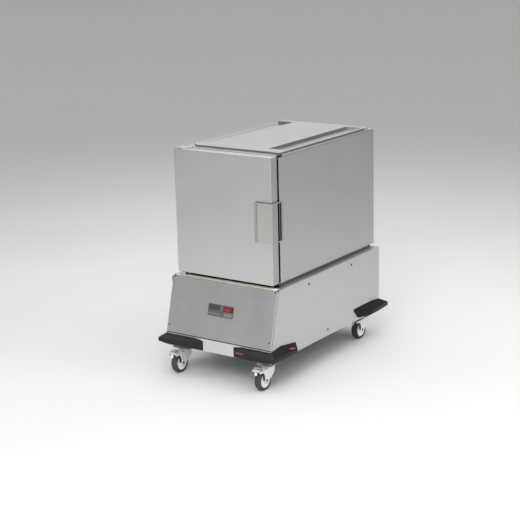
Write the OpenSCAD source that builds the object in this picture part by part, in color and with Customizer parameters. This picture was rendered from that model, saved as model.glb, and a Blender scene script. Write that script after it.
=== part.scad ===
// Enclosed meal tray cart: insulated cabinet with one front door on a wider
// technical base, four corner bumpers and four swivel casters.
// X is the cart's width (+X on the viewer's right), the door faces -Y, Z is up
// from the floor. Inside the modules Y = 0 is the front face of the door, and
// place() moves the cart so that its footprint is centred on the origin.

/* [Cabinet] */
// Width of the insulated cabinet and of its door
cab_w = 708; // [700:2:712]
// Distance from the door's front face to the cabinet's back
cab_d = 1207; // [1200:1:1207]
// Height of the door
door_h = 770; // [750:1:780]
// Thickness of the door
door_t = 64; // [62:1:66]
// Gap behind the door that the seal fills
seal_t = 20; // [18:1:22]
// Thickness of the insulated walls
wall_t = 40; // [38:1:41]
// Thickness of the folded sheet metal
sheet_t = 1.5; // [1.2:0.1:1.6]

/* [Roof] */
// Height of the roof's raised platform above the door's top edge
plat_h = 12; // [8:1:14]
// Half width of the raised platform
plat_hw = 334; // [330:1:338]
// Distance of the troughs' inner wall from the middle
trough_in = 204; // [190:1:220]
// Distance of the troughs' outer wall from the middle
trough_out = 300; // [280:1:310]

/* [Base] */
// Width of the base
base_w = 780; // [776:2:784]
// Height of the base's deck above the floor
deck_z = 606; // [602:1:610]
// Free height between the deck and the cabinet
neck_h = 24; // [22:1:28]
// Height of the base's lower edge above the floor
skirt_z = 173; // [171:1:174]
// Length of the front panel along its slope
panel_l = 353; // [345:1:354]

/* [Handle] */
// Height of the folded handle
grip_h = 242; // [220:2:260]
// Height of the handle's middle above the floor
grip_z = 1010; // [990:1:1030]
// Reach of the handle's side flange behind the door's front face
grip_y = 105; // [98:1:108]

/* [Casters] */
// Wheel diameter
wheel_d = 125; // [123:1:125]
// Width of the tyre
tyre_w = 44; // [40:1:46]
// Trail of the wheel behind the swivel axis
trail = 52; // [50:1:54]
// Distance of the swivel axes from the middle
caster_x = 315; // [312:1:317]

/* [Tray racks] */
// Number of tray levels
levels = 8; // [6:1:8]
// Distance between two tray levels
pitch = 72; // [60:1:72]
// Inner distance between the two racks' walls
rack_w = 544; // [542:2:548]

/* [Hidden] */

$fn = 48;
t = sheet_t;
hw = cab_w / 2;            // half width of the cabinet
bw = base_w / 2;           // half width of the base
fy = door_t + seal_t;      // front face of the cabinet
cz0 = deck_z + neck_h;     // underside of the cabinet and of the door
dz1 = cz0 + door_h;        // top of the door
roof_z = dz1 - 12;         // flat roof under the top panel
rim_z = dz1 + 1;           // rim of the top panel
plat_z = dz1 + plat_h;     // raised platform
cavx = hw - wall_t;        // half width of the tray space
cavz0 = cz0 + wall_t;      // floor of the tray space
cavz1 = roof_z - wall_t;   // ceiling of the tray space
cavy1 = cab_d - wall_t;    // back wall of the tray space
yb = cab_d + 3;            // back face of the base
lean = 15;                 // lean of the front panel from the vertical
ya = -90;                  // front face of the apron
fan_y = 1000;              // the fan's vertical axis
piv = [-(hw - 12), 30];    // the door's vertical pivot axis
gpin = [246, -6.5];        // the handle's vertical pin
cyf = -22;                 // front swivel axes
cyr = 1118;                // rear swivel axes
y_min = cyf - 130;         // tips of the brake pedals
y_max = cab_d + 62.5;      // outside of the push handle
y_shift = -(y_min + y_max) / 2;

module place() translate([0, y_shift, 0]) children();
// box from its lowest and its highest corner
module box(a, b) translate(a) cube([b[0] - a[0], b[1] - a[1], b[2] - a[2]]);
module rod_x(r, x0, x1) translate([x0, 0, 0]) rotate([90, 0, 90]) cylinder(r = r, h = x1 - x0);
// local frame on the sloping front panel: Y up the slope, Z outwards
module slope() translate([0, -5, deck_z]) rotate([90 - lean, 0, 0]) children();
function slope_y(z) = -5 - (deck_z - z) * tan(lean);

// ---------------------------------------------------------------- cabinet
module cabinet_shell() color([0.70, 0.69, 0.68]) place() difference() {
  union() {
    for (s = [-1, 1]) box([min(s * hw, s * (hw - t)), fy, cz0], [max(s * hw, s * (hw - t)), cab_d, rim_z - 2]);
    box([-hw, cab_d - t, cz0], [hw, cab_d, rim_z - 2]);
    box([-hw, fy, cz0], [hw, cab_d, cz0 + t]);
    box([-hw, fy, roof_z - t], [hw, cab_d, roof_z]);
    difference() {
      box([-hw, fy, cz0], [hw, fy + t, roof_z]);
      box([-cavx, fy - 1, cavz0], [cavx, fy + t + 1, cavz1]);
    }
  }
  translate([0, fan_y, cz0 - 1]) cylinder(r = 9, h = 5);
}
module inner_liner() color([0.80, 0.80, 0.79]) place() difference() {
  box([-cavx - t, fy + t, cavz0 - t], [cavx + t, cavy1 + t, cavz1 + t]);
  box([-cavx, fy + t - 1, cavz0], [cavx, cavy1, cavz1]);
  translate([0, fan_y, cavz0 - 5]) cylinder(r = 9, h = 10);
}
module insulation() color([0.92, 0.87, 0.66]) place() difference() {
  box([-hw + t, fy + t, cz0 + t], [hw - t, cab_d - t, roof_z - t]);
  box([-cavx - t, fy, cavz0 - t], [cavx + t, cavy1 + t, cavz1 + t]);
  translate([0, fan_y, cz0]) cylinder(r = 10, h = wall_t + 5);
}

// Outline of the raised platform, shrunk by i all round
function plat_r(i) = [[270 - 0.414 * i, 118 + i], [plat_hw - i, 118 + plat_hw - 270 + 0.414 * i],
  [plat_hw - i, 205 - i], [trough_in - i, 205 - i], [trough_in - i, 1105 + i],
  [plat_hw - i, 1105 + i], [plat_hw - i, 1150 - i]];
function plat(i) = [[270 - i, 118 + i], [plat_hw - i, 182 + i], [plat_hw - i, 1150 - i],
  [-plat_hw + i, 1150 - i], [-plat_hw + i, 182 + i], [-270 + i, 118 + i]];
module trough2(g) for (s = [-1, 1])
  translate([s > 0 ? trough_in - g : -trough_out - g, 205 - g]) square([trough_out - trough_in + 2 * g, 900 + 2 * g]);
module top_panel() color([0.78, 0.77, 0.76]) place() {
  // rim, lying on the sides and reaching over the seal gap
  translate([0, 0, rim_z - t]) linear_extrude(t) difference() {
    translate([-hw, fy - 15]) square([2 * hw, cab_d - fy + 15]);
    polygon(plat(t));
  }
  // walls and top of the platform
  translate([0, 0, roof_z + 0.5]) linear_extrude(plat_z - roof_z - 0.5) difference() {
    polygon(plat(0));
    polygon(plat(t));
  }
  translate([0, 0, plat_z - t]) linear_extrude(t) difference() {
    polygon(plat(0));
    trough2(0);
  }
  // side troughs
  translate([0, 0, roof_z + 0.5]) linear_extrude(plat_z - roof_z - 0.5) difference() {
    trough2(t);
    trough2(0);
  }
  translate([0, 0, roof_z + 0.5]) linear_extrude(t) trough2(t);
  // skirt inside the cabinet's upstand
  translate([0, 0, roof_z]) linear_extrude(rim_z - roof_z - t) difference() {
    translate([-hw + t, fy]) square([2 * (hw - t), cab_d - fy - t]);
    translate([-hw + 2 * t, fy + t]) square([2 * (hw - 2 * t), cab_d - fy - 3 * t]);
  }
}

// One tray rack wall with its ledges; s is the side
module rack(s) place() {
  x0 = rack_w / 2;
  mirror([s < 0 ? 1 : 0, 0, 0]) {
    box([x0, 95, 735], [x0 + t, 1130, 765 + (levels - 1) * pitch + 50]);
    for (k = [0:levels - 1]) {
      box([x0 - 18, 100, 765 + k * pitch], [x0, 1125, 765 + k * pitch + t]);
      box([x0 - 18, 100, 765 + k * pitch - 6], [x0 - 18 + t, 1125, 765 + k * pitch]);
    }
    for (y = [140, 610, 1080], z = [765, 765 + (levels - 1) * pitch])
      translate([x0 + t, y, z - 15]) rod_x(7, 0, cavx - x0 - t);
  }
}
module tray_rack_left() color([0.76, 0.76, 0.75]) rack(-1);
module tray_rack_right() color([0.76, 0.76, 0.75]) rack(1);

module air_duct_panel() color([0.74, 0.74, 0.73]) place() difference() {
  union() {
    box([-256, 860, cavz0 + 54], [256, 1140, cavz0 + 54 + t]);
    box([-256, 860, cavz0], [256, 860 + t, cavz0 + 54]);
    for (s = [-1, 1]) {
      box([min(s * 256, s * (256 - t)), 860, cavz0], [max(s * 256, s * (256 - t)), 1140, cavz0 + 54]);
      box([min(s * 256, s * (256 - t)), 1140, cavz0], [max(s * 256, s * (256 - t)), cavy1, cavz1 - 28]);
    }
    box([-256, 1140 - t, cavz0 + 54], [256, 1140, cavz1 - 28]);
    box([-256, 1140, cavz1 - 28 - t], [256, cavy1, cavz1 - 28]);
  }
  for (k = [-3:3]) box([-60, fan_y + k * 18 - 4, cavz0 + 50], [60, fan_y + k * 18 + 4, cavz0 + 60]);
  for (s = [-1, 1], k = [0:levels - 1])
    box([s * 130 - 80, 1130, 790 + k * 66], [s * 130 + 80, 1145, 797 + k * 66]);
}

// ---------------------------------------------------------------- base
module deck_plate() color([0.66, 0.65, 0.64]) place() {
  difference() {
    box([-bw + t, -3, deck_z - t], [bw - t, yb - t, deck_z]);
    translate([0, fan_y, deck_z - 5]) cylinder(r = 9, h = 10);
  }
  difference() {
    box([-hw + 18, 96, deck_z], [hw - 18, cab_d - 15, cz0]);
    box([-hw + 21, 99, deck_z - 1], [hw - 21, cab_d - 18, cz0 + 1]);
  }
}
module base_side(s) place() difference() {
  translate([s > 0 ? bw - t : -bw, 0, 0]) rotate([90, 0, 90]) linear_extrude(t)
    polygon([[slope_y(deck_z) + 13, deck_z], [yb - t, deck_z], [yb - t, skirt_z],
      [ya, skirt_z], [ya, 260], [slope_y(260) + 13, 260]]);
  for (p = [[338, 567], [848, 567], [554, 214]])
    translate([-bw - 5, p[0], p[1]]) rotate([90, 0, 90]) cylinder(r = 2.55, h = base_w + 10);
}
module side_panel_left() color([0.78, 0.77, 0.76]) base_side(-1);
module side_panel_right() color([0.78, 0.77, 0.76]) base_side(1);
module rear_panel() color([0.74, 0.73, 0.72]) place() difference() {
  box([-bw, yb - t, skirt_z], [bw, yb, deck_z]);
  box([-276, yb - 5, 391], [-224, yb + 5, 429]);
  for (k = [0:8]) box([40, yb - 5, 320 + k * 22], [300, yb + 5, 327 + k * 22]);
}
module front_panel() color([0.62, 0.61, 0.60]) place() slope() difference() {
  union() {
    translate([-bw, -panel_l, -t]) cube([2 * bw, panel_l, t]);
    for (s = [-1, 1]) translate([s > 0 ? bw - t : -bw, -panel_l, -12]) cube([t, panel_l - 3, 12 - t + 0.1]);
  }
  translate([-91, -206, -5]) cube([182, 62, 10]);
  for (s = [-1, 1], y = [-9, -312]) translate([s * 374, y, -5]) cylinder(r = 2.55, h = 10);
}
module chassis_pan() color([0.55, 0.55, 0.55]) place() {
  box([-bw + 4, ya + 3, skirt_z], [bw - 4, yb - 4, skirt_z + 3]);
  for (s = [-1, 1]) box([min(s * (bw - 4), s * (bw - 1.6)), ya + 3, skirt_z], [max(s * (bw - 4), s * (bw - 1.6)), yb - 4, skirt_z + 28]);
  for (y = [ya + 3, yb - 6]) box([-bw + 4, y, skirt_z], [bw - 4, y + 2, skirt_z + 28]);
  for (s = [-1, 1], y = [cyf, cyr]) box([s * caster_x - 57, y - 47, 150], [s * caster_x + 57, y + 47, skirt_z]);
}
module front_apron() color([0.84, 0.84, 0.83]) place()
  box([-bw + t, ya, skirt_z], [bw - t, ya + 2, 266]);

// One corner bumper. w: wall point, o: outer point, z: [low, outer low, outer high, high]
function bst(w, o, z) = [[w[0], w[1], z[0]], [o[0], o[1], z[1]], [o[0], o[1], z[2]], [w[0], w[1], z[3]]];
module bseg(a, b) hull() polyhedron(points = concat(a, b),
  faces = [[0, 1, 2, 3], [7, 6, 5, 4], [0, 4, 5, 1], [1, 5, 6, 2], [2, 6, 7, 3], [3, 7, 4, 0]]);
module bumper(s, f) {
  yw = f > 0 ? ya : yb;      // wall that the cross leg lies on
  g = -f;                    // outwards direction along Y
  e = f > 0 ? 0 : 5;         // the rear corner reaches further out
  cross = [
    bst([116, yw], [116, yw + g * 2], [175, 178, 229, 238]),
    bst([170, yw], [170, yw + g * 22], [175, 185, 239, 246]),
    bst([211, yw], [211, yw + g * (40 + e)], [176, 190, 233, 246]),
    bst([370, yw], [370, yw + g * (43 + e)], [176, 191, 221, 247]),
    bst([bw, yw], [bw + 34, yw + g * (43 + e)], [181, 199, 221, 248]),
    bst([bw, yw], [bw + 46, yw + g * 24], [181, 198, 221, 248])];
  side = f > 0 ? [
    bst([bw, yw + 100], [bw + 42, yw + 100], [176, 192, 217, 263]),
    bst([bw, 139], [bw + 40, 139], [176, 191, 213, 246]),
    bst([bw, 178], [bw + 2, 178], [176, 182, 220, 239])] : [
    bst([bw, 1122], [bw + 43, 1122], [176, 190, 217, 260]),
    bst([bw, 1045], [bw + 40, 1045], [176, 188, 214, 260]),
    bst([bw, 932], [bw + 14, 932], [189, 191, 230, 260]),
    bst([bw, 877], [bw + 2, 877], [243, 244, 259, 260])];
  st = concat(cross, side);
  place() mirror([s < 0 ? 1 : 0, 0, 0]) for (k = [0:len(st) - 2]) bseg(st[k], st[k + 1]);
}
module bumper_front_left() color([0.19, 0.19, 0.20]) bumper(-1, 1);
module bumper_front_right() color([0.19, 0.19, 0.20]) bumper(1, 1);
module bumper_rear_left() color([0.19, 0.19, 0.20]) bumper(-1, -1);
module bumper_rear_right() color([0.19, 0.19, 0.20]) bumper(1, -1);

module panel_screws() color([0.55, 0.55, 0.56]) place() {
  slope() for (s = [-1, 1], y = [-9, -312]) translate([s * 374, y, 0]) {
    cylinder(r = 4.5, h = 2.2);
    translate([0, 0, -8]) cylinder(r = 2.5, h = 8.1);
  }
  for (s = [-1, 1], p = [[338, 567], [848, 567], [554, 214]])
    translate([s * bw, p[0], p[1]]) rotate([0, s * 90, 0]) {
      cylinder(r = 4.5, h = 2.2);
      translate([0, 0, -8]) cylinder(r = 2.5, h = 8.1);
    }
}
module door_buffer() color([0.16, 0.16, 0.17]) place()
  box([-bw - 12, -6, 547], [-bw, 16, 594]);

// ---------------------------------------------------------------- controls
module control_fascia() color([0.30, 0.30, 0.31]) place() slope() difference() {
  translate([-94, -212, 0]) cube([188, 74, 3]);
  translate([20, -176, -1]) cube([70, 30, 5]);
  for (x = [40, 66]) translate([x - 7.9, -201.9, -1]) cube([15.8, 13.8, 5]);
  translate([-78, -195, -1]) cylinder(r = 7.4, h = 5);
}
module display_lens() color([0.45, 0.10, 0.07]) place() slope()
  translate([20.1, -175.9, -1.4]) cube([69.8, 29.8, 4]);
module control_board() color([0.10, 0.32, 0.20]) place() slope() {
  translate([-92, -216, -18]) cube([184, 82, 1.6]);
  for (s = [-1, 1], y = [-211, -138.5]) translate([s * 87, y, -16.5]) cylinder(r = 3, h = 15);
  translate([24, -172, -16.5]) cube([62, 22, 12]);
  for (x = [40, 66]) translate([x - 3, -198, -16.5]) cube([6, 6, 9]);
  translate([-81, -198, -16.5]) cube([6, 6, 9]);
}
module key_rect(x) place() slope() translate([x - 7.5, -201.5, -5]) cube([15, 13, 9.4]);
module key_up() color([0.55, 0.55, 0.56]) key_rect(40);
module key_down() color([0.55, 0.55, 0.56]) key_rect(66);
module key_power() color([0.55, 0.55, 0.56]) place() slope() translate([-78, -195, -5]) cylinder(r = 7, h = 9.4);
module power_unit() color([0.45, 0.46, 0.48]) place() {
  box([-320, 760, skirt_z + 3], [-60, 1060, 310]);
  for (k = [0:7]) box([-320 + 6 + k * 34, 770, 310], [-320 + 12 + k * 34, 1050, 324]);
}
module power_inlet() color([0.12, 0.12, 0.13]) place() difference() {
  union() {
    box([-284, yb, 384], [-216, yb + 3, 436]);
    box([-275.5, yb - 34, 391.5], [-224.5, yb + 0.5, 428.5]);
  }
  difference() {
    box([-268, yb - 24, 398], [-232, yb + 4, 422]);
    for (x = [-260, -250, -240]) translate([x, yb - 10, 410]) rotate([90, 0, 0]) cylinder(r = 2.4, h = 16);
  }
}

// ---------------------------------------------------------------- air heating
module heater_element() color([0.50, 0.48, 0.46]) place() translate([0, fan_y, cavz0]) {
  translate([0, 0, 22]) rotate_extrude() translate([110, 0]) circle(r = 4.5);
  for (a = [30, 150, 270]) rotate(a) translate([110, 0, 0]) cylinder(r = 3, h = 22);
}
module fan_motor() color([0.35, 0.36, 0.38]) place() translate([0, fan_y, 0]) difference() {
  union() {
    translate([0, 0, deck_z - 70]) cylinder(r = 44, h = 66);
    translate([0, 0, deck_z - t - 3]) cylinder(r = 60, h = 3);
  }
  translate([0, 0, deck_z - 58]) cylinder(r = 5.05, h = 70);
}
module fan_impeller() color([0.72, 0.73, 0.74]) place() translate([0, fan_y, 0]) {
  translate([0, 0, deck_z - 56]) cylinder(r = 5, h = cavz0 + 34 - deck_z + 56);
  translate([0, 0, cavz0 + 8]) cylinder(r = 18, h = 26);
  translate([0, 0, cavz0 + 10]) cylinder(r = 84, h = 2);
  for (k = [0:11]) rotate(k * 30) translate([34, -1, cavz0 + 11.5]) cube([48, 2, 21]);
}

// ---------------------------------------------------------------- door
module hinge_brackets() color([0.80, 0.80, 0.79]) place() {
  box([-hw - 4, 6, deck_z], [-hw + 60, 60, cz0 - 2]);
  translate([piv[0], piv[1], cz0 - 3]) cylinder(r = 6, h = 27);
  box([-hw, 10, rim_z], [-hw + 88, 114, rim_z + 4]);
  translate([piv[0], piv[1], dz1 - 22]) cylinder(r = 6, h = 24);
}
module pivot_holes(r) for (z = [cz0 - 1, dz1 - 26]) translate([piv[0], piv[1], z]) cylinder(r = r, h = 27);
module door_skin() color([0.72, 0.71, 0.70]) place() difference() {
  box([-hw, 0, cz0], [hw, door_t - 2, dz1]);
  box([-hw + t, t, cz0 + t], [hw - t, door_t, dz1 - t]);
  pivot_holes(10);
}
module door_inner_panel() color([0.80, 0.80, 0.79]) place() {
  difference() {
    box([-hw, door_t - 2, cz0], [hw, door_t, dz1]);
    box([-298.5, door_t - 3, 682], [298.5, door_t + 1, 1338]);
  }
  difference() {
    box([-300, door_t - 2, 680], [300, door_t + 12, 1340]);
    box([-298.5, door_t - 3, 681.5], [298.5, door_t + 10.5, 1338.5]);
  }
}
module door_foam() color([0.92, 0.87, 0.66]) place() difference() {
  box([-hw + t, t, cz0 + t], [hw - t, door_t - 2, dz1 - t]);
  pivot_holes(10);
}
module door_gasket() color([0.07, 0.07, 0.07]) place() difference() {
  box([-hw + 14, door_t, cz0 + 10], [hw - 14, fy - 0.4, roof_z - 10]);
  box([-cavx - 4, door_t - 1, cavz0 - 8], [cavx + 4, fy + 1, cavz1 + 8]);
}
module door_bushes() color([0.88, 0.88, 0.86]) place() difference() {
  for (z = [cz0, dz1 - 26]) translate([piv[0], piv[1], z + (z == cz0 ? 0.4 : 0)]) cylinder(r = 10, h = 25.6);
  for (z = [cz0 - 2, dz1 - 30]) translate([piv[0], piv[1], z]) cylinder(r = 6.05, h = 34);
}
gz0 = grip_z - grip_h / 2;
gz1 = grip_z + grip_h / 2;
module handle_mount() color([0.62, 0.61, 0.60]) place() {
  box([240, -1.5, gz0 - 4], [300, 0, gz1 + 4]);
  for (z = [gz0 - 4, gz1 + 1]) box([240, -11, z], [252, -1.5, z + 3]);
  translate([gpin[0], gpin[1], gz0 - 2]) cylinder(r = 2.5, h = grip_h + 4);
}
module handle_paddle() color([0.76, 0.75, 0.74]) place() difference() {
  union() {
    translate([0, 0, gz0]) linear_extrude(grip_h) polygon([[240, -6.4], [262, -14], [hw + 12, -14],
      [hw + 12, grip_y], [hw + 10, grip_y], [hw + 10, -12], [262.3, -12], [240.7, -4.5]]);
    translate([gpin[0], gpin[1], gz0]) cylinder(r = 4.6, h = grip_h);
  }
  translate([gpin[0], gpin[1], gz0 - 1]) cylinder(r = 2.55, h = grip_h + 2);
  box([hw + 5, 44, gz0 + 7], [hw + 15, 86, gz1 - 7]);
}
module handle_keeper() color([0.22, 0.22, 0.23]) place()
  box([hw, fy + 1, gz0 + 3], [hw + 4, fy + 28, gz1 - 3]);
module push_handle() color([0.80, 0.80, 0.80]) place() {
  for (s = [-1, 1]) {
    translate([s * 240, cab_d + 20, 1050]) rotate([90, 0, 0]) cylinder(r = 12.5, h = 20);
    translate([s * 240, cab_d + 5, 1050]) rotate([90, 0, 0]) cylinder(r = 26, h = 5);
    translate([s * 210, cab_d + 20, 1050]) rotate([0, 0, s > 0 ? 0 : 90])
      rotate_extrude(angle = 90) translate([30, 0]) circle(r = 12.5);
  }
  translate([0, cab_d + 50, 1050]) rod_x(12.5, -210, 210);
}

// ---------------------------------------------------------------- casters
wr = wheel_d / 2;
module caster_plates() color([0.70, 0.71, 0.72]) place() for (s = [-1, 1], y = [cyf, cyr]) translate([s * caster_x, y, 0]) {
  translate([-52.5, -42.5, 146]) cube([105, 85, 4]);
  translate([0, 0, 140]) cylinder(r = 30, h = 6.1);
  translate([0, 0, 119]) cylinder(r = 6, h = 24);
  translate([0, 0, 119]) cylinder(r = 10, h = 7.7, $fn = 6);
  for (x = [-40, 40], v = [-30, 30]) translate([x, v, 141]) cylinder(r = 7, h = 5.1, $fn = 6);
}
// Fork with its lower bearing race, about the swivel axis; the crown reaches
// over the wheel and ends in a hanging guard. Front ones carry pedal lugs.
module fork(s, y, lugs) place() translate([s * caster_x, y, 0]) difference() {
  union() {
    translate([0, 0, 131]) cylinder(r = 31, h = 8.6);
    translate([-29, -122, 128]) cube([58, 160, 4]);
    for (x = [-29, 26]) translate([x, 0, 0]) rotate([90, 0, 90]) {
      linear_extrude(3) polygon([[38, 129], [37, 100], [3, 74], [-trail + 8, wr - 11.5],
        [-trail - 13.7, wr + 3], [-trail - 14, 90], [-76, 112], [-88, 119], [-122, 122], [-122, 129]]);
      translate([-trail, wr, 0]) cylinder(r = 14, h = 3);
    }
    translate([-9, -125, 108]) cube([18, 3, 24]);
    if (lugs) for (x = [-21, 18]) translate([x, -73, 131]) cube([3, 14, 14]);
  }
  translate([0, 0, 120]) cylinder(r = 6.06, h = 25);
  translate([0, -trail, wr]) rod_x(4.05, -40, 40);
  if (lugs) translate([0, -66, 139]) rod_x(3.05, -30, 30);
}
module fork_front_left() color([0.74, 0.75, 0.76]) fork(-1, cyf, true);
module fork_front_right() color([0.74, 0.75, 0.76]) fork(1, cyf, true);
module fork_rear_left() color([0.74, 0.75, 0.76]) fork(-1, cyr, false);
module fork_rear_right() color([0.74, 0.75, 0.76]) fork(1, cyr, false);
module axle(s, y) place() translate([s * caster_x, y - trail, wr]) {
  rod_x(4, -34, 34);
  rotate([90, 0, 90]) for (x = [-34, 29]) translate([0, 0, x]) cylinder(r = 7, h = 5, $fn = 6);
}
module axle_front_left() color([0.45, 0.45, 0.46]) axle(-1, cyf);
module axle_front_right() color([0.45, 0.45, 0.46]) axle(1, cyf);
module axle_rear_left() color([0.45, 0.45, 0.46]) axle(-1, cyr);
module axle_rear_right() color([0.45, 0.45, 0.46]) axle(1, cyr);
module hub(s, y) place() translate([s * caster_x, y - trail, wr]) rotate([90, 0, 90]) rotate_extrude()
  polygon([[4.06, -25], [14, -25], [14, -14], [37, -14], [40, -19.5], [47.5, -19.5],
    [47.5, 19.5], [40, 19.5], [37, 14], [14, 14], [14, 25], [4.06, 25]]);
module hub_front_left() color([0.88, 0.88, 0.87]) hub(-1, cyf);
module hub_front_right() color([0.88, 0.88, 0.87]) hub(1, cyf);
module hub_rear_left() color([0.88, 0.88, 0.87]) hub(-1, cyr);
module hub_rear_right() color([0.88, 0.88, 0.87]) hub(1, cyr);
module tyre(s, y) place() translate([s * caster_x, y - trail, wr]) rotate([90, 0, 90]) rotate_extrude($fn = 72)
  polygon([[47.5, -tyre_w / 2 + 1.5], [wr - 7, -tyre_w / 2], [wr - 2, -tyre_w / 2 + 3], [wr, -tyre_w / 2 + 8],
    [wr, tyre_w / 2 - 8], [wr - 2, tyre_w / 2 - 3], [wr - 7, tyre_w / 2], [47.5, tyre_w / 2 - 1.5]]);
module tyre_front_left() color([0.24, 0.23, 0.24]) tyre(-1, cyf);
module tyre_front_right() color([0.24, 0.23, 0.24]) tyre(1, cyf);
module tyre_rear_left() color([0.24, 0.23, 0.24]) tyre(-1, cyr);
module tyre_rear_right() color([0.24, 0.23, 0.24]) tyre(1, cyr);
// Brake pedal on the fork's lugs: pin, knuckle, foot plate and release tab
module pedal(s) place() translate([s * caster_x, cyf, 0]) {
  translate([0, -66, 139]) { rod_x(3, -24, 24); rod_x(5.5, -16, 16); }
  translate([-15, -98, 141]) cube([30, 32, 3]);
  translate([-26, -130, 141]) cube([52, 34, 3]);
  translate([-8, -112, 143]) cube([16, 3, 12]);
  translate([-20, -122, 152]) cube([40, 38, 3]);
}
module pedal_front_left() color([0.70, 0.71, 0.72]) pedal(-1);
module pedal_front_right() color([0.70, 0.71, 0.72]) pedal(1);

cabinet_shell();
inner_liner();
insulation();
top_panel();
tray_rack_left();
tray_rack_right();
air_duct_panel();
deck_plate();
side_panel_left();
side_panel_right();
rear_panel();
front_panel();
chassis_pan();
front_apron();
bumper_front_left();
bumper_front_right();
bumper_rear_left();
bumper_rear_right();
panel_screws();
control_fascia();
display_lens();
control_board();
power_unit();
heater_element();
fan_motor();
power_inlet();
hinge_brackets();
handle_keeper();
door_buffer();
push_handle();
caster_plates();
door_skin();
door_inner_panel();
door_foam();
door_gasket();
door_bushes();
handle_mount();
handle_paddle();
key_power();
key_up();
key_down();
fan_impeller();
fork_front_left();
fork_front_right();
fork_rear_left();
fork_rear_right();
axle_front_left();
axle_front_right();
axle_rear_left();
axle_rear_right();
hub_front_left();
hub_front_right();
hub_rear_left();
hub_rear_right();
tyre_front_left();
tyre_front_right();
tyre_rear_left();
tyre_rear_right();
pedal_front_left();
pedal_front_right();
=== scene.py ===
import bpy
import bmesh
import math
import random
from mathutils import Vector, Matrix, geometry


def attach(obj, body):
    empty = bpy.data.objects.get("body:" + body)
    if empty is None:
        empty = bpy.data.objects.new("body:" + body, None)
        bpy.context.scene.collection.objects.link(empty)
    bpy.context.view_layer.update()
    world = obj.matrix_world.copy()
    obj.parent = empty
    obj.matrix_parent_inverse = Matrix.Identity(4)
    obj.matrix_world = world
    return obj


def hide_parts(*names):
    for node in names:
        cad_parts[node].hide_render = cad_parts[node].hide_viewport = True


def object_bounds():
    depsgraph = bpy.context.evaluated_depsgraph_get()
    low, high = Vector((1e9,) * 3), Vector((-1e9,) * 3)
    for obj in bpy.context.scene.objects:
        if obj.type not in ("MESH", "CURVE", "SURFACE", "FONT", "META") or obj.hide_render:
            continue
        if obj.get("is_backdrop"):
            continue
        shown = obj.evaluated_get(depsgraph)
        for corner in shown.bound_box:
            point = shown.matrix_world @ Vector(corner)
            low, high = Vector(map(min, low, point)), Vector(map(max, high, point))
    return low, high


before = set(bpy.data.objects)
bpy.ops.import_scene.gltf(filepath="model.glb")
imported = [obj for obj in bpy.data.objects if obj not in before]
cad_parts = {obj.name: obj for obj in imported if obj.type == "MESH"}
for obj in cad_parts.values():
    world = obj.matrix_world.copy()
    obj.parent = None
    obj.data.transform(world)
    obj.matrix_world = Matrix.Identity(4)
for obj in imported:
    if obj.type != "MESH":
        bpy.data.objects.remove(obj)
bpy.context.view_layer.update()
S = bpy.context.scene
YS = -558.75          # shift from the door's front face to the row frame, mm


# ------------------------------------------------------------------ helpers
def link(o):
    S.collection.objects.link(o)
    return o


def V(x, y, z):
    """Millimetres, Y counted from the door's front face, to the row frame."""
    return Vector((x * 0.001, (y + YS) * 0.001, z * 0.001))


def sgn(s, a, b):
    """The span from s*a to s*b, lowest first."""
    return (min(s * a, s * b), max(s * a, s * b))


MADE = []


def put(name, bm, body, mat, *replaces, bevel=0.0, segs=2, angle=32, sharp=38, slot=None, mats=None, both=True):
    """Finishes a bmesh in mm of the photo frame as a piece that rides on a body."""
    bmesh.ops.remove_doubles(bm, verts=bm.verts, dist=0.0005)
    bmesh.ops.recalc_face_normals(bm, faces=bm.faces)
    if bevel > 0:
        bm.normal_update()
        es = [e for e in bm.edges if len(e.link_faces) == 2 and e.calc_face_angle(0) > math.radians(angle)]
        if es:
            bmesh.ops.bevel(bm, geom=es, offset=bevel, segments=segs, profile=0.5, affect="EDGES", clamp_overlap=True)
    for v in bm.verts:
        v.co = V(*v.co)
    bmesh.ops.remove_doubles(bm, verts=bm.verts, dist=1e-6)
    bmesh.ops.recalc_face_normals(bm, faces=bm.faces)
    for f in bm.faces:
        f.smooth = True
    me = bpy.data.meshes.new(name)
    bm.to_mesh(me)
    bm.free()
    for m in (mats or [mat]):
        me.materials.append(m)
    me.set_sharp_from_angle(angle=math.radians(sharp))
    o = link(bpy.data.objects.new(name, me))
    w = o.modifiers.new("normals", "WEIGHTED_NORMAL")
    w.keep_sharp = True
    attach(o, body)
    if replaces:
        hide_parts(*replaces)
    MADE.append(o)
    return o


def ident(p):
    return p


def add_box(bm, lo, hi, T=ident):
    c = [(x, y, z) for x in (lo[0], hi[0]) for y in (lo[1], hi[1]) for z in (lo[2], hi[2])]
    vs = [bm.verts.new(T(Vector(p))) for p in c]
    for q in ((0, 1, 3, 2), (4, 6, 7, 5), (0, 4, 5, 1), (2, 3, 7, 6), (0, 2, 6, 4), (1, 5, 7, 3)):
        bm.faces.new([vs[i] for i in q])
    return vs


def frame_at(origin, zdir, xhint=(1, 0, 0)):
    """Maps local (x, y, z) to a frame at origin whose z is zdir."""
    z = Vector(zdir).normalized()
    x = Vector(xhint)
    x = (x - z * x.dot(z)).normalized()
    y = z.cross(x)
    o = Vector(origin)
    return lambda p: o + x * p[0] + y * p[1] + z * p[2]


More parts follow.
